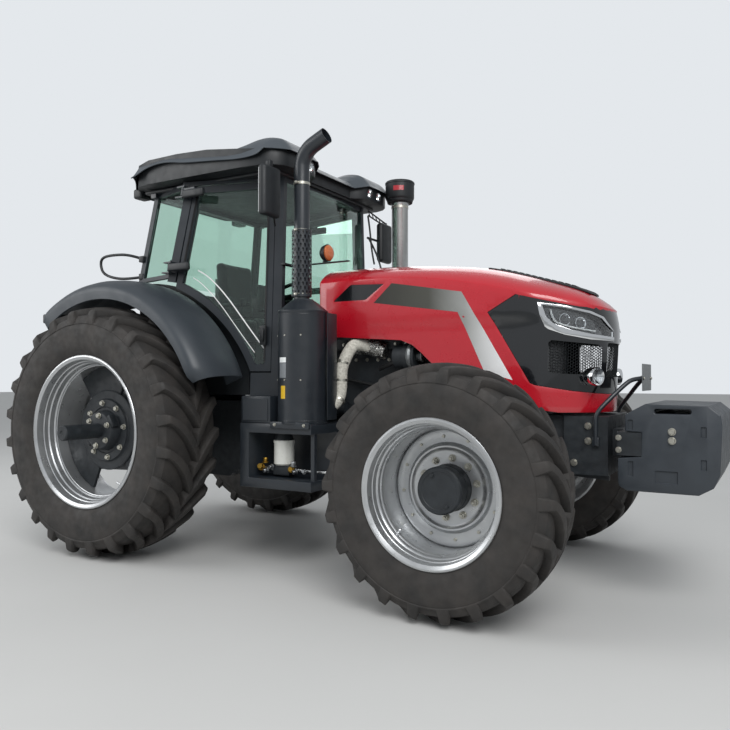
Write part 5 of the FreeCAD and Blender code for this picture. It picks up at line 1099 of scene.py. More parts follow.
def fender(side):
    """One fender: the section turned round the rear axle, its ends pulled in to round corners."""
    rows = []
    for index in range(FENDER_STEPS + 1):
        share = index / FENDER_STEPS
        angle = radians(FENDER_REAR + FENDER_SWEEP * share)
        end = min(share, 1 - share) / 0.06
        pull = 0.0 if end >= 1 else (1 - sqrt(1 - (1 - end) ** 2)) * 0.05
        drop = 0.030 + 0.045 * (1 - share) ** 1.5
        section = [(y - pull * max(0.0, (y - 0.86) / 0.3), radius) for y, radius in FENDER_SECTION]
        rim = FENDER_SECTION[-1][1]
        section += [(1.156 - pull, rim - drop * 0.5), (1.156 - pull, rim - drop),
                    (1.148 - pull, rim - drop - 0.004)]
        row = [at(radius * sin(angle), side * y, REAR_AXLE_Z + radius * cos(angle))
               for y, radius in section]
        rows.append(row)
    shell = surface(rows)
    return modify(shell, "SOLIDIFY", thickness=0.006, offset=0)


shells = together([fender(-1), fender(1)])
ready(shells, "rear_fender_shells", FENDER_GREY, ("rear_fenders",), 45)
print("fenders of", len(shells.data.polygons), "faces")

# %% [markdown]
# The roof has a grey cap over a black fascia. The cap is laid out on lines across: it is
# nearly flat in the middle, rolls down at the sides, and rises over a lamp pod at each front
# corner, with a visor between them. The fascia below is a tray that follows the cap's plan, and
# pockets are cut in its front for the lamps.

# %% Roof cap
ROOF_TOP = ((-0.225, 2.868), (-0.19, 2.925), (-0.10, 2.985), (0.05, 3.015), (0.30, 3.023), (0.70, 3.017),
            (0.95, 2.985), (1.18, 2.955), (1.34, 2.925), (1.47, 2.890))
POD_TOP = ((0.90, 2.970), (1.00, 2.985), (1.09, 2.999), (1.21, 3.021), (1.31, 3.014), (1.40, 2.985),
           (1.445, 2.950), (1.466, 2.925))
CAP_EDGE = ((-0.225, 2.826), (-0.05, 2.840), (0.08, 2.868), (0.20, 2.910), (0.33, 2.930), (0.45, 2.925),
            (0.60, 2.900), (0.92, 2.868), (1.10, 2.850), (1.22, 2.850), (1.36, 2.868), (1.466, 2.880))


def step_between(low, high, value):
    """A soft step from 0 to 1 as a value goes from low to high."""
    share = min(1.0, max(0.0, (value - low) / (high - low)))
    return share * share * (3 - 2 * share)


def roof_front(y):
    """Where the cap ends in front: further forward over the pods, back again at the sides."""
    return 1.378 + 0.088 * step_between(0.26, 0.37, y) - 0.13 * step_between(0.70, 0.88, y)


def roof_rear(y):
    """Where the cap ends behind, rounded off at the corners."""
    return -0.224 + 0.27 * step_between(0.50, 0.88, y)


def roof_height(x, y, share):
    """Height of the cap at a place, and a share along from its rear to its front edge."""
    y = abs(y)
    top = curve(ROOF_TOP, x)
    pod = step_between(0.27, 0.39, y)
    top += pod * max(0.0, curve(POD_TOP, x) - top) * step_between(0.88, 1.06, x)
    edge = curve(CAP_EDGE, x)
    if y > 0.66:
        top -= (top - edge) * min(1.0, (y - 0.66) / 0.205) ** 2.4
    low = 2.868 + 0.030 * pod
    if share > 0.93:
        top -= (top - low) * ((share - 0.93) / 0.07) ** 2.6
    if share < 0.05:
        top -= (top - min(top, 2.822 + 0.05 * step_between(0.5, 0.88, y))) * (1 - share / 0.05) ** 2.6
    return top


def cap_point(share, across):
    """A place on the cap: share along from rear to front, across from -1 to 1."""
    y = 0.864 * sin(across * pi / 2 * 0.999)
    x = roof_rear(abs(y)) + (roof_front(abs(y)) - roof_rear(abs(y))) * share
    return at(x, y, roof_height(x, y, share))


ALONG, ACROSS = 56, 24
rows = []
for index in range(ALONG + 1):
    swing = cos(pi * index / ALONG)
    share = 0.5 - 0.5 * swing * (0.9 + 0.1 * abs(swing))
    rows.append([cap_point(share, across / ACROSS) for across in range(-ACROSS, ACROSS + 1)])
cap = surface(rows)
modify(cap, "SOLIDIFY", thickness=0.005, offset=0)
ready(cap, "roof_cap", ROOF_GREY, ("cab_roof",), 40)

TRAY = ((-0.196, 0.0), (-0.188, 0.45), (-0.140, 0.60), (-0.075, 0.68), (-0.01, 0.74), (0.05, 0.79),
        (0.20, 0.832), (0.80, 0.842), (1.12, 0.842), (1.28, 0.830), (1.36, 0.800), (1.415, 0.740),
        (1.438, 0.66), (1.438, 0.40), (1.425, 0.36), (1.38, 0.32), (1.336, 0.28), (1.336, 0.0))
ring = [(x + REAR_AXLE_X, -y) for x, y in TRAY] + [(x + REAR_AXLE_X, y) for x, y in reversed(TRAY[1:-1])]
tray = outline(ring, "z", 2.765, 2.99)
under = [(-0.3, 2.845), (-0.16, 2.832), (0.02, 2.812), (0.16, 2.803), (0.45, 2.800), (1.10, 2.795),
         (1.30, 2.792), (1.60, 2.795), (1.60, 2.898), (1.30, 2.905)]
over = [(x, curve(ROOF_TOP, x) - 0.035) for x in (1.1, 0.8, 0.5, 0.2, 0.0, -0.12)] + [(-0.3, 2.85)]
tray = cut(tray, side_view(under + over, 0.9), "INTERSECT")
FRONT_LAMPS = [facing(at(1.4375, side * y, 2.850), (1, 0, -0.10), 0, 1.08) for side in (1, -1)
               for y in (0.430, 0.575)]
pocket = turned([(-0.06, 0.0), (-0.06, 0.035), (0.02, 0.035), (0.02, 0.0)], ORIGIN, "z", 36)
tray = cut(tray, stamped(pocket, FRONT_LAMPS))
bevel(tray, 0.016, 3, 40)
ready(tray, "roof_fascia", GRAINED_BLACK, smooth=40)
liner = block(at(0.02, -0.70, 2.772), at(1.32, 0.70, 2.798), 0.01, 3)
ready(liner, "headliner", GRAINED_BLACK)
print("roof cap of", len(cap.data.polygons), "faces")

# %% [markdown]
# Four round working lamps look forward from the two pods, and two more hang under the rear
# corners. Each is a black bowl with a chromed reflector of facets and a clear pane. A steel
# ring for lifting the cab stands on the roof.

# %% Working lamps
def work_lamps(places, name):
    """Working lamps with bowl, reflector and pane, each facing along its matrix."""
    bowl = turned([(-0.045, 0.0), (-0.040, 0.020), (-0.020, 0.034), (0.0, 0.038), (0.004, 0.037),
                   (0.003, 0.0335), (-0.018, 0.030), (-0.034, 0.018), (-0.036, 0.0)], ORIGIN, "z", 36)
    dish = turned([(-0.034, 0.0), (-0.030, 0.016), (-0.014, 0.027), (-0.001, 0.0325), (-0.001, 0.0335),
                   (-0.016, 0.0295), (-0.0345, 0.017), (-0.0355, 0.0)], ORIGIN, "z", 12)
    pane = turned([(0.0, 0.0), (0.0, 0.0335), (0.003, 0.0325), (0.005, 0.0)], ORIGIN, "z", 36)
    ready(stamped(bowl, places), name + "_bowls", GRAINED_BLACK)
    ready(stamped(dish, places), name + "_reflectors", CHROME, smooth=10)
    ready(stamped(pane, places), name + "_panes", LENS_CLEAR)


rear_lamps = [facing(at(-0.155, side * 0.60, 2.808), (-1, 0, -0.2)) for side in (1, -1)]
work_lamps(FRONT_LAMPS + rear_lamps, "roof_lamp")
hoods = stamped(bevel(block((-0.075, -0.062, -0.036), (0.022, 0.062, 0.045), 0.02, 3), 0.003, 1),
                [Matrix.Translation(at(-0.085, side * 0.60, 2.805)) for side in (1, -1)])
ready(hoods, "rear_lamp_housings", GRAINED_BLACK)
lone()
bpy.ops.mesh.primitive_torus_add(location=at(1.03, -0.36, 2.998), rotation=(pi / 2, 0, 0.5),
                                 major_radius=0.020, minor_radius=0.0055, major_segments=32,
                                 minor_segments=12)
ring = bpy.context.object
bpy.ops.object.transform_apply(location=True, rotation=True)
foot = stamped(turned([(0, 0), (0, 0.014), (0.008, 0.014), (0.012, 0.008), (0.012, 0)], ORIGIN, "z", 20),
               [Matrix.Translation(at(1.03, -0.36, 2.972))])
ready(together([ring, foot]), "lifting_eye", ZINC)
print("roof lamps hung")

# %% [markdown]
# The exhaust stands on the right. A tall canister with a cone on top hides the treatment of the
# exhaust gas. It is spun from one profile, with two rolled seams, and stands on a bracket of
# folded sheet. Its stickers are blank films bent round it, each a little off the enamel.

# %% Exhaust canister
EXHAUST = (1.557, -0.700)
CANISTER_RADIUS = 0.171
STICKER_RADIUS = 0.1717
profile = [(1.012, 0.0), (1.012, 0.156), (1.006, 0.162), (1.006, 0.174), (1.018, 0.176),
           (1.020, CANISTER_RADIUS), (1.745, CANISTER_RADIUS), (1.757, 0.1725), (1.762, 0.1745),
           (1.768, 0.174), (1.772, 0.169), (1.838, 0.088), (1.846, 0.074), (1.852, 0.070), (1.852, 0.0)]
drum = turned(profile, at(*EXHAUST, 0), "z", 96)
seam = turned([(-0.002, 0.166), (-0.002, 0.1725), (0.0, 0.1732), (0.002, 0.1725), (0.002, 0.166)],
              ORIGIN, "z", 96)
seams = stamped(seam, [Matrix.Translation(at(*EXHAUST, z)) for z in (1.028, 1.742)])
ready(together([drum, seams]), "exhaust_canister", SATIN_BLACK, ("muffler",), 28)
wing = block(at(1.738, -0.68, 1.03), at(1.745, -0.560, 1.755), 0.003)
ready(wing, "canister_shield", SATIN_BLACK)
tray = block(at(1.40, -0.86, 0.986), at(1.72, -0.54, 1.008), 0.006)
lip = block(at(1.40, -0.865, 0.975), at(1.72, -0.857, 1.02), 0.003)
ready(together([tray, lip]), "canister_bracket", SATIN_BLACK)
screws = [facing(at(x, -0.865, 1.0), (0, -1, 0)) for x in (1.44, 1.68)]
for angle in (-100, -60, -140):
    out = Vector((cos(radians(angle)), sin(radians(angle)), 0))
    for z in (1.60, 1.30):
        screws.append(facing(at(*EXHAUST, z) + out * 0.1715, out, 0, 0.5))
bolted("canister_screws", "chassis", bolt(0.016, 0.007, 0.002), screws)


def label(middle_angle, width, low, high, finish, name):
    """A blank sticker bent round the canister."""
    rows = []
    for index in range(9):
        angle = radians(middle_angle) + width / 0.1715 * (index / 8 - 0.5)
        out = Vector((cos(angle), sin(angle), 0))
        loop = [(STICKER_RADIUS, low), (STICKER_RADIUS, high), (CANISTER_RADIUS, high),
                (CANISTER_RADIUS, low), (STICKER_RADIUS, low)]
        rows.append([at(*EXHAUST, z) + out * radius for radius, z in loop])
    ready(surface(rows, close=True), name, finish)


label(-108, 0.070, 1.315, 1.415, VINYL_GREY, "label_grey")
label(-108, 0.070, 1.418, 1.452, VINYL_WHITE, "label_white")
label(-106, 0.045, 1.175, 1.262, VINYL_YELLOW, "label_yellow")
print("canister of", len(drum.data.polygons), "faces")

# %% [markdown]
# The tail pipe bends forward at the top and is cut off square, with its bore open. It is swept:
# a ring of points is set square to the path at each place along it, outside first and then
# back along the inside. A slotted shield wraps its hot lower half, one turn of thin sheet with
# a rounded block cut out at every slot.

# %% Exhaust pipe with its shield
def bent_tube(path, radius, wall, steps=48):
    """An open pipe along a path in the plane of X and Z, with its ends joined round the bore."""
    ahead = []
    for index, point in enumerate(path):
        before, after = path[max(index - 1, 0)], path[min(index + 1, len(path) - 1)]
        ahead.append((Vector(after) - Vector(before)).normalized())
    rows = []
    for size, order in ((radius, range(len(path))), (radius - wall, range(len(path) - 1, -1, -1))):
        for index in order:
            run = ahead[index]
            aside = Vector((0, 1, 0))
            lift = run.cross(aside).normalized()
            ring = []
            for step in range(steps + 1):
                turn = 2 * pi * step / steps
                ring.append(Vector(path[index]) + aside * size * cos(turn) + lift * size * sin(turn))
            rows.append(ring)
    rows.append(rows[0])
    return surface(rows)


x, y = 1.546, EXHAUST[1]
BEND = radians(66)
BEND_RADIUS = 0.17
BEND_START = 2.755
path = [at(x, y, 1.845 + 0.09 * index) for index in range(9)] + [at(x, y, z) for z in (2.65, 2.71)]
for index in range(1, 15):
    turn = BEND * index / 14
    path.append(at(x + BEND_RADIUS * (1 - cos(turn)), y, BEND_START + BEND_RADIUS * sin(turn)))
for index in (1, 2):
    path.append(path[-1] + Vector((0.056 * sin(BEND), 0, 0.056 * cos(BEND))))
stack = bent_tube(path, 0.0545, 0.003)
ready(stack, "exhaust_tail_pipe", SATIN_BLACK, ("exhaust_stack",), 40)

SHIELD_RADIUS = 0.068
SLOTS_ROUND = 15


def round_pipe(turn, z):
    """A place on the shield, at a turn round the pipe."""
    return at(x + SHIELD_RADIUS * cos(turn), y + SHIELD_RADIUS * sin(turn), z)


shield = surface([[round_pipe(2 * pi * step / 60, z) for step in range(61)] for z in (1.87, 2.33)])
modify(shield, "SOLIDIFY", thickness=0.0015, offset=0)
slot = block((-0.006, -0.012, -0.013), (0.006, 0.012, 0.013), 0.005, 2)
holes = []
for row in range(15):
    for column in range(SLOTS_ROUND):
        turn = 2 * pi * (column + 0.5 * (row % 2)) / SLOTS_ROUND
        holes.append(Matrix.Translation(round_pipe(turn, 1.898 + 0.0292 * row))
                     @ Matrix.Rotation(turn + pi / 2, 4, "Z"))
shield = cut(shield, stamped(slot, holes))
ready(shield, "exhaust_heat_shield", SATIN_BLACK, smooth=40)
clamps = []
for z in (1.885, 2.325, 2.65):
    band = turned([(-0.009, 0.0548), (-0.009, 0.0575), (0.009, 0.0575), (0.009, 0.0548)], at(x, y, z),
                  "z", 64)
    lug = block(at(x - 0.012, y - 0.078, z - 0.008), at(x + 0.012, y - 0.056, z + 0.008), 0.003)
    clamps += [band, lug]
ready(together(clamps), "exhaust_clamps", ZINC)
stay = pipe([at(1.50, -0.62, 2.33), at(1.46, -0.60, 2.34), at(1.40, -0.60, 2.345)], 0.010)
ready(stay, "exhaust_stay", SATIN_BLACK)
print("tail pipe of", len(stack.data.polygons), "and shield of", len(shield.data.polygons), "faces")

# %% [markdown]
# On the left stands the engine's intake: a bright stainless pipe, and on it a round pre-cleaner
# with a lid, vanes round its foot and a small red film. The vanes are one leaf, tipped a little
# and copied round.

# %% Intake and pre-cleaner
INTAKE = (1.560, 0.740)
profile = [(2.815, 0.0), (2.815, 0.080), (2.822, 0.106), (2.832, 0.112), (2.842, 0.112), (2.848, 0.119),
           (2.862, 0.123), (2.955, 0.124), (2.975, 0.1235), (2.978, 0.127), (2.990, 0.127),
           (3.000, 0.118), (3.006, 0.090), (3.008, 0.0)]
bowl = turned(profile, at(*INTAKE, 0), "z", 96)
blade = stamped(block((0.070, -0.0015, -0.012), (0.108, 0.0015, 0.012), 0.001, 1),
                [Matrix.Translation(at(*INTAKE, 2.826)) @ Matrix.Rotation(2 * pi * index / 36, 4, "Z")
                 @ Matrix.Rotation(0.5, 4, "X") for index in range(36)])
knob = turned([(3.004, 0.0), (3.004, 0.016), (3.009, 0.014), (3.0095, 0.0)], at(*INTAKE, 0), "z", 24)
ready(together([bowl, blade, knob]), "intake_precleaner", GRAINED_BLACK, ("precleaner",))
rows = []
loop = [(0.1246, 2.905), (0.1246, 2.945), (0.1238, 2.945), (0.1238, 2.905), (0.1246, 2.905)]
for index in range(13):
    turn = radians(-89 + 42 * index / 12)
    rows.append([at(*INTAKE, z) + Vector((cos(turn), sin(turn), 0)) * radius for radius, z in loop])
ready(surface(rows, close=True), "precleaner_band", VINYL_RED)
pole = turned([(1.96, 0.0), (1.96, 0.070), (2.80, 0.070), (2.804, 0.0735), (2.820, 0.0735), (2.820, 0.0)],
              at(*INTAKE, 0), "z", 72)
elbow = pipe([at(*INTAKE, 1.97), at(*INTAKE, 1.60), at(1.60, 0.60, 1.50), at(1.74, 0.36, 1.50),
              at(1.745, 0.22, 1.50)], 0.052, 10, 10)
ready(together([pole, elbow]), "intake_pole", STAINLESS, ("intake_stack",), 50)
cuffs = []
for z in (1.99, 2.78):
    cuffs.append(turned([(-0.010, 0.0703), (-0.010, 0.0735), (0.010, 0.0735), (0.010, 0.0703)],
                        at(*INTAKE, z), "z", 64))
ready(together(cuffs), "intake_clamps", ZINC)
print("intake done")

# %% [markdown]
# The doors swing on two chunky hinges with moulded covers. A grip stands at each door's front
# edge, rubber seals run down the panes, and two thin white lines are printed on the right one.
# The door's face is a plane through three places, so each piece is laid out on that plane, by
# its place along and its height, and then moved out from it.

# %% Door furniture
DOOR = [Vector(place) for place in ((0.422, 0.820, 2.030), (0.556, 0.754, 2.790), (1.262, 0.632, 1.362))]
DOOR_NORMAL = (DOOR[2] - DOOR[0]).cross(DOOR[1] - DOOR[0]).normalized()
if DOOR_NORMAL.y < 0:
    DOOR_NORMAL.negate()


def on_door(x, z, out, side):
    """A place on the door's outer face, moved out along its normal, on one side."""
    y = DOOR[0].y - (DOOR_NORMAL.x * (x - DOOR[0].x) + DOOR_NORMAL.z * (z - DOOR[0].z)) / DOOR_NORMAL.y
    place = Vector((x, y, z)) + DOOR_NORMAL * out
    return at(place.x, side * place.y, place.z)


def door_strip(line, width, thick, out, side):
    """A flat strip along a line on the door's face."""
    rows = []
    for index, (x, z) in enumerate(line):
        before, after = line[max(index - 1, 0)], line[min(index + 1, len(line) - 1)]
        run = Vector((after[0] - before[0], after[1] - before[1])).normalized() * width / 2
        rows.append([on_door(x + run.y * turn, z - run.x * turn, level, side) for turn, level in
                     ((-1, out), (1, out), (1, out - thick), (-1, out - thick), (-1, out))])
    return surface(rows, close=True)


REAR_SEAL = [(0.522 + 0.176 * (z - 2.10), z) for z in (2.13, 2.3, 2.5, 2.70)]
STRIPE = ((0.640, 2.118), (0.72, 2.068), (0.81, 1.985), (0.901, 1.881), (1.00, 1.752), (1.09, 1.635),
          (1.180, 1.520))
for name, side in SIDES:
    covers = []
    for x, y, z in ((0.460, 0.870, 2.133), (0.545, 0.812, 2.682)):
        y = side * (y + 0.003)
        covers.append(block(at(x, y - 0.019, z - 0.030), at(x + 0.205, y + 0.019, z + 0.030), 0.014, 3))
    x, z = 1.185, 1.62
    plate = block(at(x - 0.028, side * 0.664 - 0.012, z - 0.07),
                  at(x + 0.028, side * 0.664 + 0.012, z + 0.07), 0.008)
    grip = pipe([on_door(x, z - 0.055, 0.0, side), on_door(x, z - 0.045, 0.045, side),
                 on_door(x, z, 0.050, side), on_door(x, z + 0.045, 0.045, side),
                 on_door(x, z + 0.055, 0.0, side)], 0.010)
    ready(together(covers + [plate, grip]), "door_furniture_" + name, GRAINED_BLACK, body="door_" + name)
    seals = [door_strip(REAR_SEAL, 0.014, 0.010, 0.004, side),
             door_strip([(1.183, 1.43), (1.183, 2.0), (1.183, 2.69)], 0.012, 0.010, 0.004, side)]
    ready(together(seals), "door_seals_" + name, HOSE_RUBBER, body="door_" + name)
x_line = [(index, x) for index, (x, z) in enumerate(STRIPE)]
z_line = [(index, z) for index, (x, z) in enumerate(STRIPE)]
line = [(curve(x_line, step / 6), curve(z_line, step / 6)) for step in range(37)]
stripes = [door_strip(line, 0.009, 0.0012, -0.0105, -1),
           door_strip([(x - 0.062, z - 0.040) for x, z in line[2:-1]], 0.006, 0.0012, -0.0105, -1)]
ready(together(stripes), "door_line", VINYL_WHITE, body="door_right")
print("doors furnished")

# %% [markdown]
# Mirrors hang in front of both doors: a rounded shell with the glass let into its rear face.
# The right one has a short bracket under the roof. The left one, seen from the front, has
# an arm pressed as a lattice and a bar below it, and two curved tubes brace it to the pillar.

# %% Mirrors
def mirror(centre, side):
    """A mirror's shell round a centre, bulged in front; its glass is made with it."""
    x, y, z = centre
    shell = block(at(x - 0.026, y - 0.098, z - 0.172), at(x + 0.030, y + 0.098, z + 0.172), 0.026, 5)
    for vertex in shell.data.vertices:
        bulge = 1 - ((vertex.co.y - y) / 0.1) ** 2
        if vertex.co.x > at(x, 0, 0).x:
            vertex.co.x += 0.016 * bulge
    glass = block(at(x - 0.0275, y - 0.082, z - 0.152), at(x - 0.0245, y + 0.082, z + 0.152), 0.001, 1)
    ready(glass, "mirror_glass_" + side, MIRROR)
    return shell


arms = [mirror((1.385, -0.858, 2.585), "right"), mirror((1.337, 0.860, 2.510), "left")]
arms.append(pipe([at(1.385, -0.858, 2.73), at(1.382, -0.858, 2.79), at(1.35, -0.80, 2.812),
                  at(1.30, -0.70, 2.80)], 0.011))
arms.append(pipe([at(1.385, -0.80, 2.45), at(1.33, -0.74, 2.44), at(1.285, -0.66, 2.40)], 0.008))
arms.append(block(at(1.365, -0.878, 2.745), at(1.405, -0.838, 2.80), 0.008, 2))
start, end = at(1.30, 0.645, 2.765), at(1.345, 0.880, 2.690)
for drop in (0.0, 0.038):
    arms.append(pipe([start + Vector((0, 0, -drop)), (start + end) / 2 + Vector((0, 0, -drop)),
                      end + Vector((0, 0, -drop * 0.5))], 0.0065))
for index in range(5):
    a, b = start.lerp(end, index / 5), start.lerp(end, (index + 0.5) / 5)
    arms.append(pipe([a, (a + b) / 2 + Vector((0, 0, -0.018)), b + Vector((0, 0, -0.034))], 0.004, 3, 3))
arms.append(pipe([end + Vector((0, 0, 0.004)), at(1.343, 0.892, 2.68), at(1.338, 0.870, 2.64)], 0.010))
arms.append(pipe([at(1.296, 0.640, 2.530), at(1.31, 0.72, 2.525), at(1.325, 0.80, 2.520)], 0.010))
arms.append(pipe([at(1.300, 0.640, 2.72), at(1.305, 0.668, 2.60), at(1.318, 0.672, 2.42),
                  at(1.345, 0.672, 2.30)], 0.008))
arms.append(pipe([at(1.300, 0.650, 2.53), at(1.325, 0.700, 2.45), at(1.37, 0.706, 2.34),
                  at(1.40, 0.700, 2.25)], 0.008))
ready(together(arms), "mirror_shells_and_arms", GRAINED_BLACK, ("mirrors",), 50)

# %% [markdown]
# A round amber lamp looks forward from a flat bar over the hood. Its lens is moulded in
# studs, one over each light. Behind the cab a loop of coated tube guards the rear corner.

# %% Amber lamp and guard loop
bar = block(at(1.300, -0.486, 2.128), at(1.790, -0.460, 2.137), 0.003)
post = block(at(1.290, -0.600, 2.125), at(1.330, -0.460, 2.140), 0.003)
cup = turned([(-0.052, 0.0), (-0.050, 0.030), (-0.030, 0.052), (0.0, 0.062), (0.006, 0.062),
              (0.006, 0.055), (-0.010, 0.050), (-0.040, 0.020), (-0.044, 0.0)], at(1.610, -0.474, 2.203),
             "x", 48)
foot = turned([(0.0, 0.0), (0.0, 0.018), (0.018, 0.018), (0.022, 0.010), (0.03, 0.0)],
              at(1.590, -0.473, 2.132), "z", 24)
ready(together([bar, post, cup, foot]), "amber_lamp_bar", GRAINED_BLACK, ("beacon",))
lens = turned([(0.0, 0.0), (0.0, 0.056), (0.012, 0.055), (0.022, 0.046), (0.027, 0.028), (0.029, 0.0)],
              at(1.613, -0.474, 2.203), "x", 48)
stud = turned([(0.0, 0.0), (0.0, 0.0065), (0.004, 0.005), (0.006, 0.0)], ORIGIN, "z", 16)
places = [Matrix.Translation(at(1.6405, -0.474, 2.203)) @ Matrix.Rotation(pi / 2, 4, "Y")]
for index in range(6):
    turn = pi / 3 * index
    places.append(Matrix.Translation(at(1.637, -0.474 + 0.027 * cos(turn), 2.203 + 0.027 * sin(turn)))
                  @ Matrix.Rotation(pi / 2, 4, "Y"))
ready(together([lens, stamped(stud, places)]), "amber_lens", AMBER_LENS)
loop = pipe([at(0.0, -0.690, 2.26), at(-0.10, -0.74, 2.30), at(-0.28, -0.755, 2.31),
             at(-0.41, -0.755, 2.30), at(-0.435, -0.75, 2.24), at(-0.40, -0.745, 2.16),
             at(-0.25, -0.735, 2.115), at(-0.10, -0.72, 2.11), at(0.0, -0.690, 2.12)], 0.011, 8)
sockets = [block(at(-0.03, -0.715, z - 0.025), at(0.02, -0.67, z + 0.025), 0.006) for z in (2.26, 2.12)]
ready(together([loop] + sockets), "guard_loop", GRAINED_BLACK)
print("mirrors, amber lamp and loop done")

# %% [markdown]
# Inside the cab: the wheel is a rim of foamed plastic on three flat spokes, the dash a rounded
# housing with a screen, and a console with levers stands to the right of the seat. The seat's
# two pads are cloth over foam. They start a little small, and air pressure in a short cloth
# simulation fills them, so the faces crown and the edges pull in. Piping runs along the squab.

# %% Driver's place
lone()
bpy.ops.mesh.primitive_torus_add(major_radius=0.200, minor_radius=0.0145, major_segments=72,
                                 minor_segments=20)
rim = bpy.context.object
spokes = [rim, turned([(-0.050, 0.0), (-0.050, 0.022), (-0.030, 0.040), (-0.012, 0.052), (0.0, 0.048),
                       (0.004, 0.0)], ORIGIN, "z", 40)]
for angle in (90, 210, 330):
    spoke = block((0.03, -0.016, -0.022), (0.195, 0.016, -0.010), 0.005, 2)
    spoke.data.transform(Matrix.Rotation(radians(angle), 4, "Z"))
    spokes.append(spoke)
ready(stamped(together(spokes), [facing(at(0.905, 0, 1.970), (-0.530, 0, 0.848))]),
      "steering_wheel_rim", GRAINED_BLACK, ("steering_wheel",), 45, body="steering_wheel")
desk = [block(at(0.965, -0.19, 1.66), at(1.12, 0.19, 1.93), 0.03, 4),
        block(at(0.52, -0.50, 1.60), at(0.86, -0.31, 1.76), 0.03, 4),
        block(at(0.30, -0.60, 1.30), at(0.80, -0.33, 1.60), 0.03, 3),
        block(at(0.96, -0.46, 1.84), at(0.985, -0.22, 2.02), 0.01, 3)]
for x, y, tall in ((0.60, -0.36, 0.17), (0.66, -0.42, 0.14), (0.72, -0.36, 0.15), (0.56, -0.45, 0.10)):
    desk.append(pipe([at(x, y, 1.74), at(x + 0.005, y, 1.74 + tall * 0.5), at(x + 0.02, y, 1.74 + tall)],
                     0.006))
    desk.append(block(at(x + 0.002, y - 0.018, 1.735 + tall), at(x + 0.038, y + 0.018, 1.79 + tall),
                      0.012, 3))
ready(together(desk), "dash_and_console", GRAINED_BLACK)


PAD_ROUND = 0.045
VOXEL = 0.006
PRESSURE = 4
MOMENTS = 20
BULGE_CAP = 0.014


def padded(low, high, name, lean=0.0):
    """A cushion that is blown up from a rounded block, no point moving further than the cap."""
    pad = block(low, high, PAD_ROUND, 5)
    if lean:
        foot = at(0, 0, 0).z + low[2]
        for vertex in pad.data.vertices:
            vertex.co.x -= (vertex.co.z - foot) * lean
    modify(pad, "REMESH", mode="VOXEL", voxel_size=VOXEL)
    still = [vertex.co.copy() for vertex in pad.data.vertices]
    lone(pad)
    cloth = pad.modifiers.new("cloth", "CLOTH")
    cloth.settings.use_pressure = True
    cloth.settings.uniform_pressure_force = PRESSURE
    cloth.settings.effector_weights.gravity = 0
    for moment in range(1, MOMENTS + 1):
        bpy.context.scene.frame_set(moment)
    bpy.ops.object.modifier_apply(modifier=cloth.name)
    for vertex, start in zip(pad.data.vertices, still):
        shift = vertex.co - start
        if shift.length > BULGE_CAP:
            vertex.co = start + shift.normalized() * BULGE_CAP
    bpy.context.scene.frame_set(1)
    modify(pad, "SUBSURF", levels=1, render_levels=1)
    ready(pad, name, SEAT_CLOTH, smooth=60)
    return pad


squab = padded(at(0.345, -0.215, 1.690), at(0.765, 0.215, 1.785), "seat_squab")
padded(at(0.330, -0.205, 1.830), at(0.410, 0.205, 2.285), "seat_backrest", 0.06)
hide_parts("seat_cushions")
low, high = squab.bound_box[0], squab.bound_box[6]
piping = []
for y in (-0.13, 0.13):
    piping.append(pipe([(low[0] + 0.05, y, high[2] - 0.004),
                        ((low[0] + high[0]) / 2, y, high[2] + 0.0005),
                        (high[0] - 0.05, y, high[2] - 0.004)], 0.003, 4, 3))
arm_rests = [block(at(0.42, side * 0.235 - 0.028, 1.885), at(0.70, side * 0.235 + 0.028, 1.925), 0.014, 3)
             for side in (1, -1)]
ready(together(piping + arm_rests), "seat_piping_and_armrests", GRAINED_BLACK)
print("driver's place done; squab of", len(squab.data.polygons), "faces")

# %% [markdown]
# The front weights are iron castings hung side by side on the carrier. One slab is drawn in
# side view with the notch that hooks over the carrier, and a slot for the hands, and copied
# across. The outermost ones show their moulded recesses and two bolts that clamp the stack.

# %% Front weights
SLAB = ((3.615, 1.104), (3.726, 1.166), (4.055, 1.160), (4.112, 1.112), (4.120, 1.06), (4.108, 0.785),
        (4.075, 0.712), (4.000, 0.667), (3.625, 0.667), (3.582, 0.690), (3.574, 0.715), (3.574, 0.852),
        (3.700, 0.866), (3.706, 1.004), (3.615, 1.006))
SLAB_WIDE = 0.0585
SLAB_STEP = 0.0600
STACK_FACE = 0.4193
slab = outline([(x + REAR_AXLE_X, z) for x, z in SLAB], "y", -SLAB_WIDE / 2, SLAB_WIDE / 2)
hand = block(at(3.774, -0.05, 1.112), at(3.965, 0.05, 1.138), 0.0)
slab = cut(slab, bevel(hand, 0.010, 3))
bevel(slab, 0.007, 3, 40)
places = [Matrix.Translation((0, (index - 6.5) * SLAB_STEP, 0)) for index in range(14)]
slabs = stamped(slab, places)
for x_low, x_high, z_low, z_high in ((4.012, 4.042, 0.985, 1.045), (4.012, 4.042, 0.805, 0.865),
                                     (3.630, 3.660, 1.015, 1.075), (3.630, 3.660, 0.750, 0.838),
                                     (3.775, 3.895, 0.720, 0.792)):
    for side in (1, -1):
        tool = block(at(x_low, side * STACK_FACE - 0.009, z_low),
                     at(x_high, side * STACK_FACE + 0.009, z_high), 0.004, 1)
        cut(slabs, tool)
ready(slabs, "weight_slabs", WEIGHT_GREY, ("front_weights",), 30)
ends = [facing(at(3.867, side * STACK_FACE, z), (0, side, 0)) for side in (1, -1) for z in (1.013, 0.963)]
bolted("weight_bolts", "chassis", bolt(0.030, 0.016, 0.005), ends)
print("weights of", len(slabs.data.polygons), "faces")

# %% [markdown]
# A blank number plate stands on two bent tubes, each on a foot that is bolted to the bolster.
# The carrier, the bolster and the frame show their bolts: one bolt is modelled and copied.

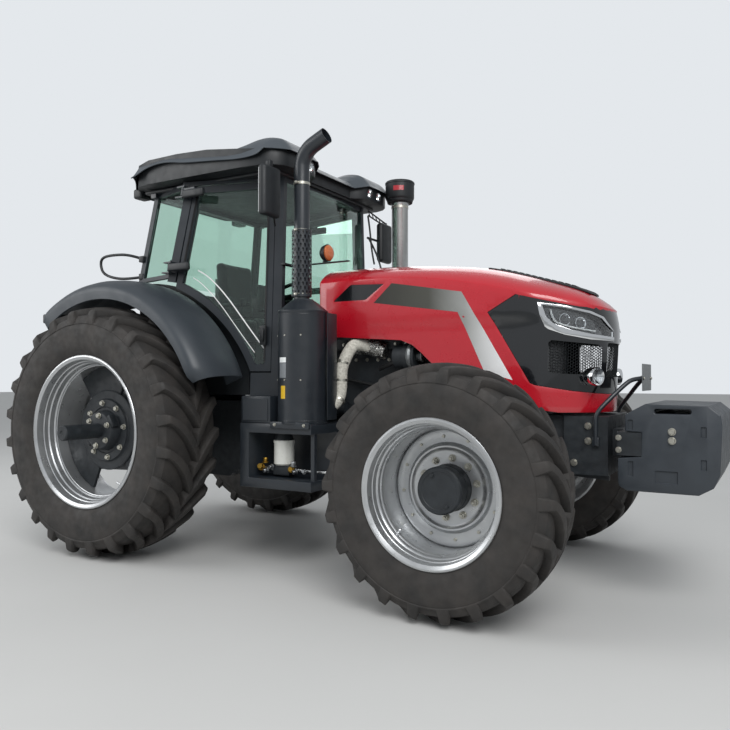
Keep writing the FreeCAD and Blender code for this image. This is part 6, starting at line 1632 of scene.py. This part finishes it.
# %% Number plate, carrier and bolster
tubes = []
for side in (1, -1):
    tubes.append(pipe([at(3.434, side * 0.342, 0.913), at(3.434, side * 0.342, 1.02),
                       at(3.434, side * 0.342, 1.10), at(3.50, side * 0.300, 1.18),
                       at(3.59, side * 0.215, 1.285), at(3.625, side * 0.18, 1.308),
                       at(3.668, side * 0.14, 1.312)], 0.0135, 8))
    tubes.append(block(at(3.414, side * 0.336 - 0.014, 0.905), at(3.454, side * 0.336 + 0.014, 0.96),
                       0.005))
    tubes.append(block(at(3.660, side * 0.135 - 0.022, 1.296), at(3.6685, side * 0.135 + 0.022, 1.328),
                       0.003))
ready(together(tubes), "plate_tubes", SATIN_BLACK, ("number_plate",))
plate = block(at(3.669, -0.163, 1.235), at(3.6725, 0.163, 1.400), 0.0012, 1)
ready(plate, "blank_number_plate", BARE_ALUMINIUM)
FRAME_BOLTS = ((3.385, 1.024), (3.385, 0.934), (3.23, 0.86), (3.30, 0.80), (2.20, 1.02), (2.28, 0.93),
               (2.36, 1.02), (2.05, 1.02))
screws = [facing(at(3.6725, side * 0.135, 1.312), (1, 0, 0), 0, 0.5) for side in (1, -1)]
for side in (1, -1):
    screws += [facing(at(x, side * 0.320, z), (0, side, 0)) for x, z in FRAME_BOLTS]
    screws += [facing(at(3.58, side * 0.4205, z), (0, side, 0), 0, 0.8) for z in (0.90, 0.97)]
bolted("frame_bolts", "chassis", bolt(0.030, 0.014, 0.005), screws)
print("plate and bolts done")

# %% [markdown]
# Between hood and wheel the engine shows. A foil blanket wraps the hot manifold; its points are
# pushed in and out by chance, the same way each time, to crinkle it. The exhaust pipe to the
# canister is wound in glass-fibre tape and held by three clamps. Short moulded hoses run along
# both sides, and the turbocharger, alternator and oil filter are spun from their profiles.

# %% Engine bay
wrapped = pipe([at(1.93, -0.305, 1.500), at(1.86, -0.345, 1.545), at(1.79, -0.405, 1.555),
                at(1.765, -0.455, 1.485), at(1.735, -0.490, 1.38), at(1.742, -0.500, 1.27),
                at(1.738, -0.515, 1.17), at(1.700, -0.575, 1.11), at(1.650, -0.630, 1.10)], 0.043, 10, 10)
ready(wrapped, "wrapped_exhaust_pipe", HEAT_WRAP, ("exhaust_pipe",), 60)
blanket = pipe([at(1.73, -0.330, 1.535), at(1.79, -0.325, 1.548), at(1.88, -0.318, 1.542),
                at(1.99, -0.300, 1.500)], 0.062, 12, 12)
CRINKLE = 0.004
random.seed(7)
for vertex in blanket.data.vertices:
    vertex.co += vertex.normal * random.uniform(-CRINKLE, CRINKLE)
ready(blanket, "manifold_blanket", SILVER_FOIL, smooth=10)
cuffs = [facing(at(1.744, -0.478, 1.425), (0.25, 0.25, 0.94)),
         facing(at(1.741, -0.497, 1.30), (0, 0.05, 1)), facing(at(1.735, -0.522, 1.16), (0.1, 0.5, 0.85))]
ring = turned([(-0.008, 0.0432), (-0.008, 0.0465), (0.008, 0.0465), (0.008, 0.0432)], ORIGIN, "z", 48)
ready(stamped(ring, cuffs), "exhaust_pipe_clamps", ZINC)
hoses = [
    pipe([at(2.095, -0.300, 1.56), at(2.10, -0.315, 1.47), at(2.118, -0.31, 1.38), at(2.12, -0.27, 1.30)],
         0.024),
    pipe([at(1.94, -0.30, 1.38), at(2.03, -0.335, 1.41), at(2.16, -0.34, 1.45), at(2.30, -0.30, 1.47)],
         0.017),
    pipe([at(1.66, -0.26, 1.30), at(1.85, -0.295, 1.27), at(2.10, -0.29, 1.22), at(2.45, -0.26, 1.24)],
         0.013),
    pipe([at(2.20, 0.30, 1.60), at(2.38, 0.315, 1.62), at(2.55, 0.26, 1.56), at(2.70, 0.20, 1.50)],
         0.030),
    pipe([at(1.66, 0.26, 1.40), at(1.90, 0.30, 1.42), at(2.20, 0.30, 1.45), at(2.44, 0.27, 1.42)],
         0.012),
    pipe([at(2.20, -0.18, 1.62), at(2.40, -0.22, 1.66), at(2.60, -0.20, 1.62), at(2.94, -0.20, 1.58)],
         0.032)]
ready(together(hoses), "engine_hoses", HOSE_RUBBER)
TURBO = at(2.212, -0.318, 1.462)
volute = turned([(-0.030, 0.0), (-0.030, 0.050), (-0.022, 0.088), (0.0, 0.098), (0.022, 0.088),
                 (0.030, 0.050), (0.030, 0.0)], TURBO, "x", 48)
neck = turned([(0.03, 0.0), (0.03, 0.034), (0.060, 0.034), (0.066, 0.040), (0.078, 0.040), (0.078, 0.0)],
              TURBO, "x", 40)
pump = turned([(-0.045, 0.0), (-0.045, 0.060), (-0.035, 0.072), (0.035, 0.072), (0.045, 0.060),
               (0.045, 0.0)], at(2.41, -0.292, 1.330), "x", 40)
ready(together([volute, neck, pump]), "turbocharger_and_alternator", BARE_ALUMINIUM)
oil = turned([(0.98, 0.0), (0.98, 0.044), (0.986, 0.047), (1.150, 0.047), (1.156, 0.050), (1.172, 0.050),
              (1.172, 0.0)], at(2.10, -0.296, 0), "z", 48)
head = block(at(2.03, -0.35, 1.172), at(2.17, -0.236, 1.215), 0.012, 3)
ready(together([oil, head]), "engine_oil_filter", SATIN_BLACK)
studs = []
for index in range(9):
    studs.append(facing(at(1.64 + 0.085 * index, -0.300, 1.554), (0, -1, 0)))
    studs.append(facing(at(1.62 + 0.090 * index, -0.238, 1.445), (0, -1, 0), 0.3))
    studs.append(facing(at(1.62 + 0.090 * index, 0.238, 1.445), (0, 1, 0), 0.3))
    studs += [facing(at(1.62 + 0.090 * index, side * 0.238, 0.935), (0, side, 0), 0.2)
              for side in (1, -1)]
bolted("engine_bolts", "chassis", bolt(0.018, 0.009, 0.003), studs)
fins = stamped(block((-0.002, -0.29, -0.002), (0.004, 0.29, 0.002), 0.0, 0),
               [Matrix.Translation(at(3.095, 0, 1.16 + 0.018 * index)) for index in range(31)])
ready(fins, "radiator_fins", CASTING_BLACK)
print("engine bay done")

# %% [markdown]
# Under the door a steel housing holds the white fuel filter in a deep recess, cut out of it
# with a block. A row of fittings in brass and steel runs along its foot, and a bare pipe leads
# from them to the engine. The box above is closed by a panel.

# %% Right-hand boxes and filter
outer = block(at(1.130, -0.850, 0.562), at(1.728, -0.262, 1.004), 0)
outer = cut(outer, block(at(1.205, -0.90, 0.628), at(1.760, -0.470, 0.938), 0))
bevel(outer, 0.005, 2)
upper = [block(at(1.130, -0.840, 1.004), at(1.385, -0.425, 1.190), 0.008, 2),
         block(at(1.150, -0.8465, 1.020), at(1.365, -0.838, 1.172), 0.003, 1),
         block(at(1.690, -0.80, 0.620), at(1.722, -0.768, 0.945), 0.003, 1)]
ready(together([outer] + upper), "right_housing", SATIN_BLACK, ("side_box",))
can = turned([(0.712, 0.0), (0.712, 0.060), (0.722, 0.070), (0.860, 0.070), (0.866, 0.073),
              (0.882, 0.073), (0.886, 0.066), (0.886, 0.0)], at(1.400, -0.700, 0), "z", 56)
ready(can, "fuel_filter", FILTER_WHITE)
head = [turned([(0.886, 0.0), (0.886, 0.066), (0.905, 0.060), (0.935, 0.050), (0.938, 0.0)],
               at(1.400, -0.70, 0), "z", 40), block(at(1.33, -0.74, 0.640), at(1.47, -0.66, 0.712),
                                                    0.01, 3)]
ready(together(head), "filter_head", CASTING_BLACK)
fittings = []
for x, z, size, turn in ((1.235, 0.690, 0.034, 0.3), (1.290, 0.672, 0.028, 1.2),
                         (1.330, 0.700, 0.024, 0.7), (1.490, 0.688, 0.030, 0.1),
                         (1.535, 0.680, 0.026, 0.9), (1.60, 0.678, 0.022, 0.4)):
    fittings.append(facing(at(x, -0.74, z), (0.5 * cos(turn * 3), -1, 0.3 * sin(turn * 5)),
                           turn, size / 0.03))
fittings += [facing(at(1.265, -0.735, 0.720), (0, 0, 1), 0.2),
             facing(at(1.505, -0.735, 0.705), (0, 0, 1), 0.5)]
for name, finish, places in (("brass_fittings", BRASS, fittings[::3]),
                             ("steel_fittings", MACHINED, fittings[1::3] + fittings[2::3])):
    ready(stamped(bolt(0.032, 0.030, 0.008), places), name, finish)
run = pipe([at(1.23, -0.72, 0.69), at(1.36, -0.725, 0.672), at(1.50, -0.72, 0.684),
            at(1.56, -0.71, 0.680)], 0.014)
ready(run, "filter_manifold", MACHINED)
run = pipe([at(1.50, -0.72, 0.684), at(1.60, -0.715, 0.680), at(1.76, -0.66, 0.672),
            at(1.86, -0.56, 0.670), at(1.90, -0.40, 0.70), at(1.90, -0.30, 0.82)], 0.013)
ready(run, "bare_fuel_pipe", STAINLESS)
print("right boxes done")

# %% [markdown]
# The left side has what such tractors have: a moulded fuel tank with a cap, held by two straps,
# and beside it, under the door, three steps with raised treads on two stringers.

# %% Fuel tank and steps
tank = outline([(x + REAR_AXLE_X, z) for x, z in ((1.236, 0.525), (1.236, 1.140), (1.822, 1.140),
                                                  (1.822, 0.650), (1.735, 0.525))], "y", 0.262, 0.845)
bevel(tank, 0.045, 5, 30)
ready(tank, "moulded_fuel_tank", GRAINED_BLACK, ("fuel_tank",), 50)
metal = []
for x in (1.36, 1.70):
    metal.append(block(at(x - 0.018, 0.30, 1.136), at(x + 0.018, 0.852, 1.1435), 0.002))
    metal.append(block(at(x - 0.018, 0.8445, 0.60), at(x + 0.018, 0.851, 1.1435), 0.002))
for x in (1.030, 1.210):
    metal.append(block(at(x - 0.018, 0.602, 0.482), at(x + 0.018, 0.638, 1.185), 0.004))
for z in (0.480, 0.730, 0.980):
    metal.append(block(at(1.012, 0.602, z), at(1.228, 0.838, z + 0.026), 0.006))
    metal.append(stamped(block((-0.004, -0.10, 0), (0.004, 0.10, 0.010), 0.002, 1),
                         [Matrix.Translation(at(1.035 + 0.034 * index, 0.722, z + 0.024))
                          for index in range(6)]))
    for x in (1.014, 1.222):
        metal.append(block(at(x - 0.004, 0.602, z - 0.03), at(x + 0.004, 0.836, z + 0.045), 0.002, 1))
ready(together(metal), "steps_and_straps", SATIN_BLACK)
lid = turned([(1.135, 0.0), (1.135, 0.052), (1.165, 0.052), (1.172, 0.046), (1.174, 0.0)],
             at(1.53, 0.66, 0), "z", 40)
ready(lid, "fuel_cap", GRAINED_BLACK)
print("left side done")

# %% [markdown]
# At the rear the fenders carry lamp clusters, amber outside and red inside, and a bank of
# couplers sits beside the top link. The power take-off has its guard, and the axle trumpets
# their bolts.

# %% Rear end
cases, reds, ambers = [], [], []
for side in (1, -1):
    cases.append(block(at(-0.742, side * 0.97 - 0.09, 1.752), at(-0.682, side * 0.97 + 0.09, 1.827),
                       0.012, 3))
    reds.append(block(at(-0.749, side * 0.932 - 0.043, 1.758), at(-0.734, side * 0.932 + 0.043, 1.820),
                      0.005, 2))
    ambers.append(block(at(-0.749, side * 1.016 - 0.036, 1.758), at(-0.734, side * 1.016 + 0.036, 1.820),
                        0.005, 2))
ready(together(cases), "tail_lamp_cases", GRAINED_BLACK)
ready(together(reds), "tail_lamps_red", RED_LENS)
ready(together(ambers), "tail_lamps_amber", AMBER_LENS)
bank = block(at(-0.44, -0.30, 1.26), at(-0.33, -0.10, 1.42), 0.010, 2)
coupler = turned([(0.0, 0.0), (0.0, 0.022), (0.03, 0.022), (0.034, 0.026), (0.05, 0.026), (0.054, 0.018),
                  (0.056, 0.0)], ORIGIN, "z", 28)
places = [facing(at(-0.438, -0.15 - 0.05 * column, 1.30 + 0.06 * row), (-1, 0, 0)) for column in range(3)
          for row in range(2)]
ready(bank, "coupler_bank", CASTING_BLACK)
ready(stamped(coupler, places), "hydraulic_couplers", MACHINED)
guard = [block(at(-0.50, -0.13, 0.80), at(-0.395, 0.13, 0.808), 0.003),
         block(at(-0.50, -0.13, 0.66), at(-0.395, -0.122, 0.808), 0.003),
         block(at(-0.50, 0.122, 0.66), at(-0.395, 0.13, 0.808), 0.003)]
ready(together(guard), "power_take_off_guard", SATIN_BLACK)
BOLT_CIRCLE = 0.155
studs = []
for side in (1, -1):
    for index in range(10):
        turn = 2 * pi * index / 10
        point = at(BOLT_CIRCLE * cos(turn), side * 0.405, REAR_AXLE_Z + BOLT_CIRCLE * sin(turn))
        studs.append(facing(point, (0, side, 0), turn))
bolted("axle_housing_bolts", "chassis", bolt(0.024, 0.012, 0.004), studs)
print("rear end done")

# %% [markdown]
# The front axle's differential has a domed cover, held by a ring of bolts. A round cap stands
# over and under each king pin, on the knuckle that turns with the wheel, and the upper one is
# held by four screws. Each pair of caps is joined into one piece.

# %% Front axle
x = FRONT_AXLE_X - REAR_AXLE_X
KING_PIN_Y = 0.800
cover = turned([(0.0, 0.0), (0.0, 0.168), (0.012, 0.172), (0.022, 0.165), (0.05, 0.12), (0.075, 0.06),
                (0.080, 0.0)], at(x + 0.135, 0.0, FRONT_AXLE_Z), "x", 56)
ready(cover, "differential_cover", CASTING_BLACK)
for name, side in (("left", 1), ("right", -1)):
    caps = [turned([(0.0, 0.0), (0.0, 0.058), (up * 0.012, 0.056), (up * 0.020, 0.040),
                    (up * 0.022, 0.0)], at(x, side * KING_PIN_Y, z - up * 0.004), "z", 40)
            for z, up in ((0.872, 1), (0.528, -1))]
    ready(together(caps), "king_pin_caps_" + name, CASTING_BLACK, body="knuckle_" + name)
    screws = [facing(at(x + 0.042 * cos(turn), side * KING_PIN_Y + 0.042 * sin(turn), 0.880), (0, 0, 1),
                     turn, 0.8) for turn in (0.8, 2.37, 3.94, 5.5)]
    bolted("king_pin_screws_" + name, "knuckle_" + name, bolt(0.018, 0.009, 0.003), screws)
screws = [facing(at(x + 0.150, 0.148 * cos(turn), FRONT_AXLE_Z + 0.148 * sin(turn)), (1, 0, 0), turn)
          for turn in (2 * pi * index / 12 for index in range(12))]
bolted("differential_bolts", "chassis", bolt(0.018, 0.010, 0.003), screws)
print("front axle done; all modelled")
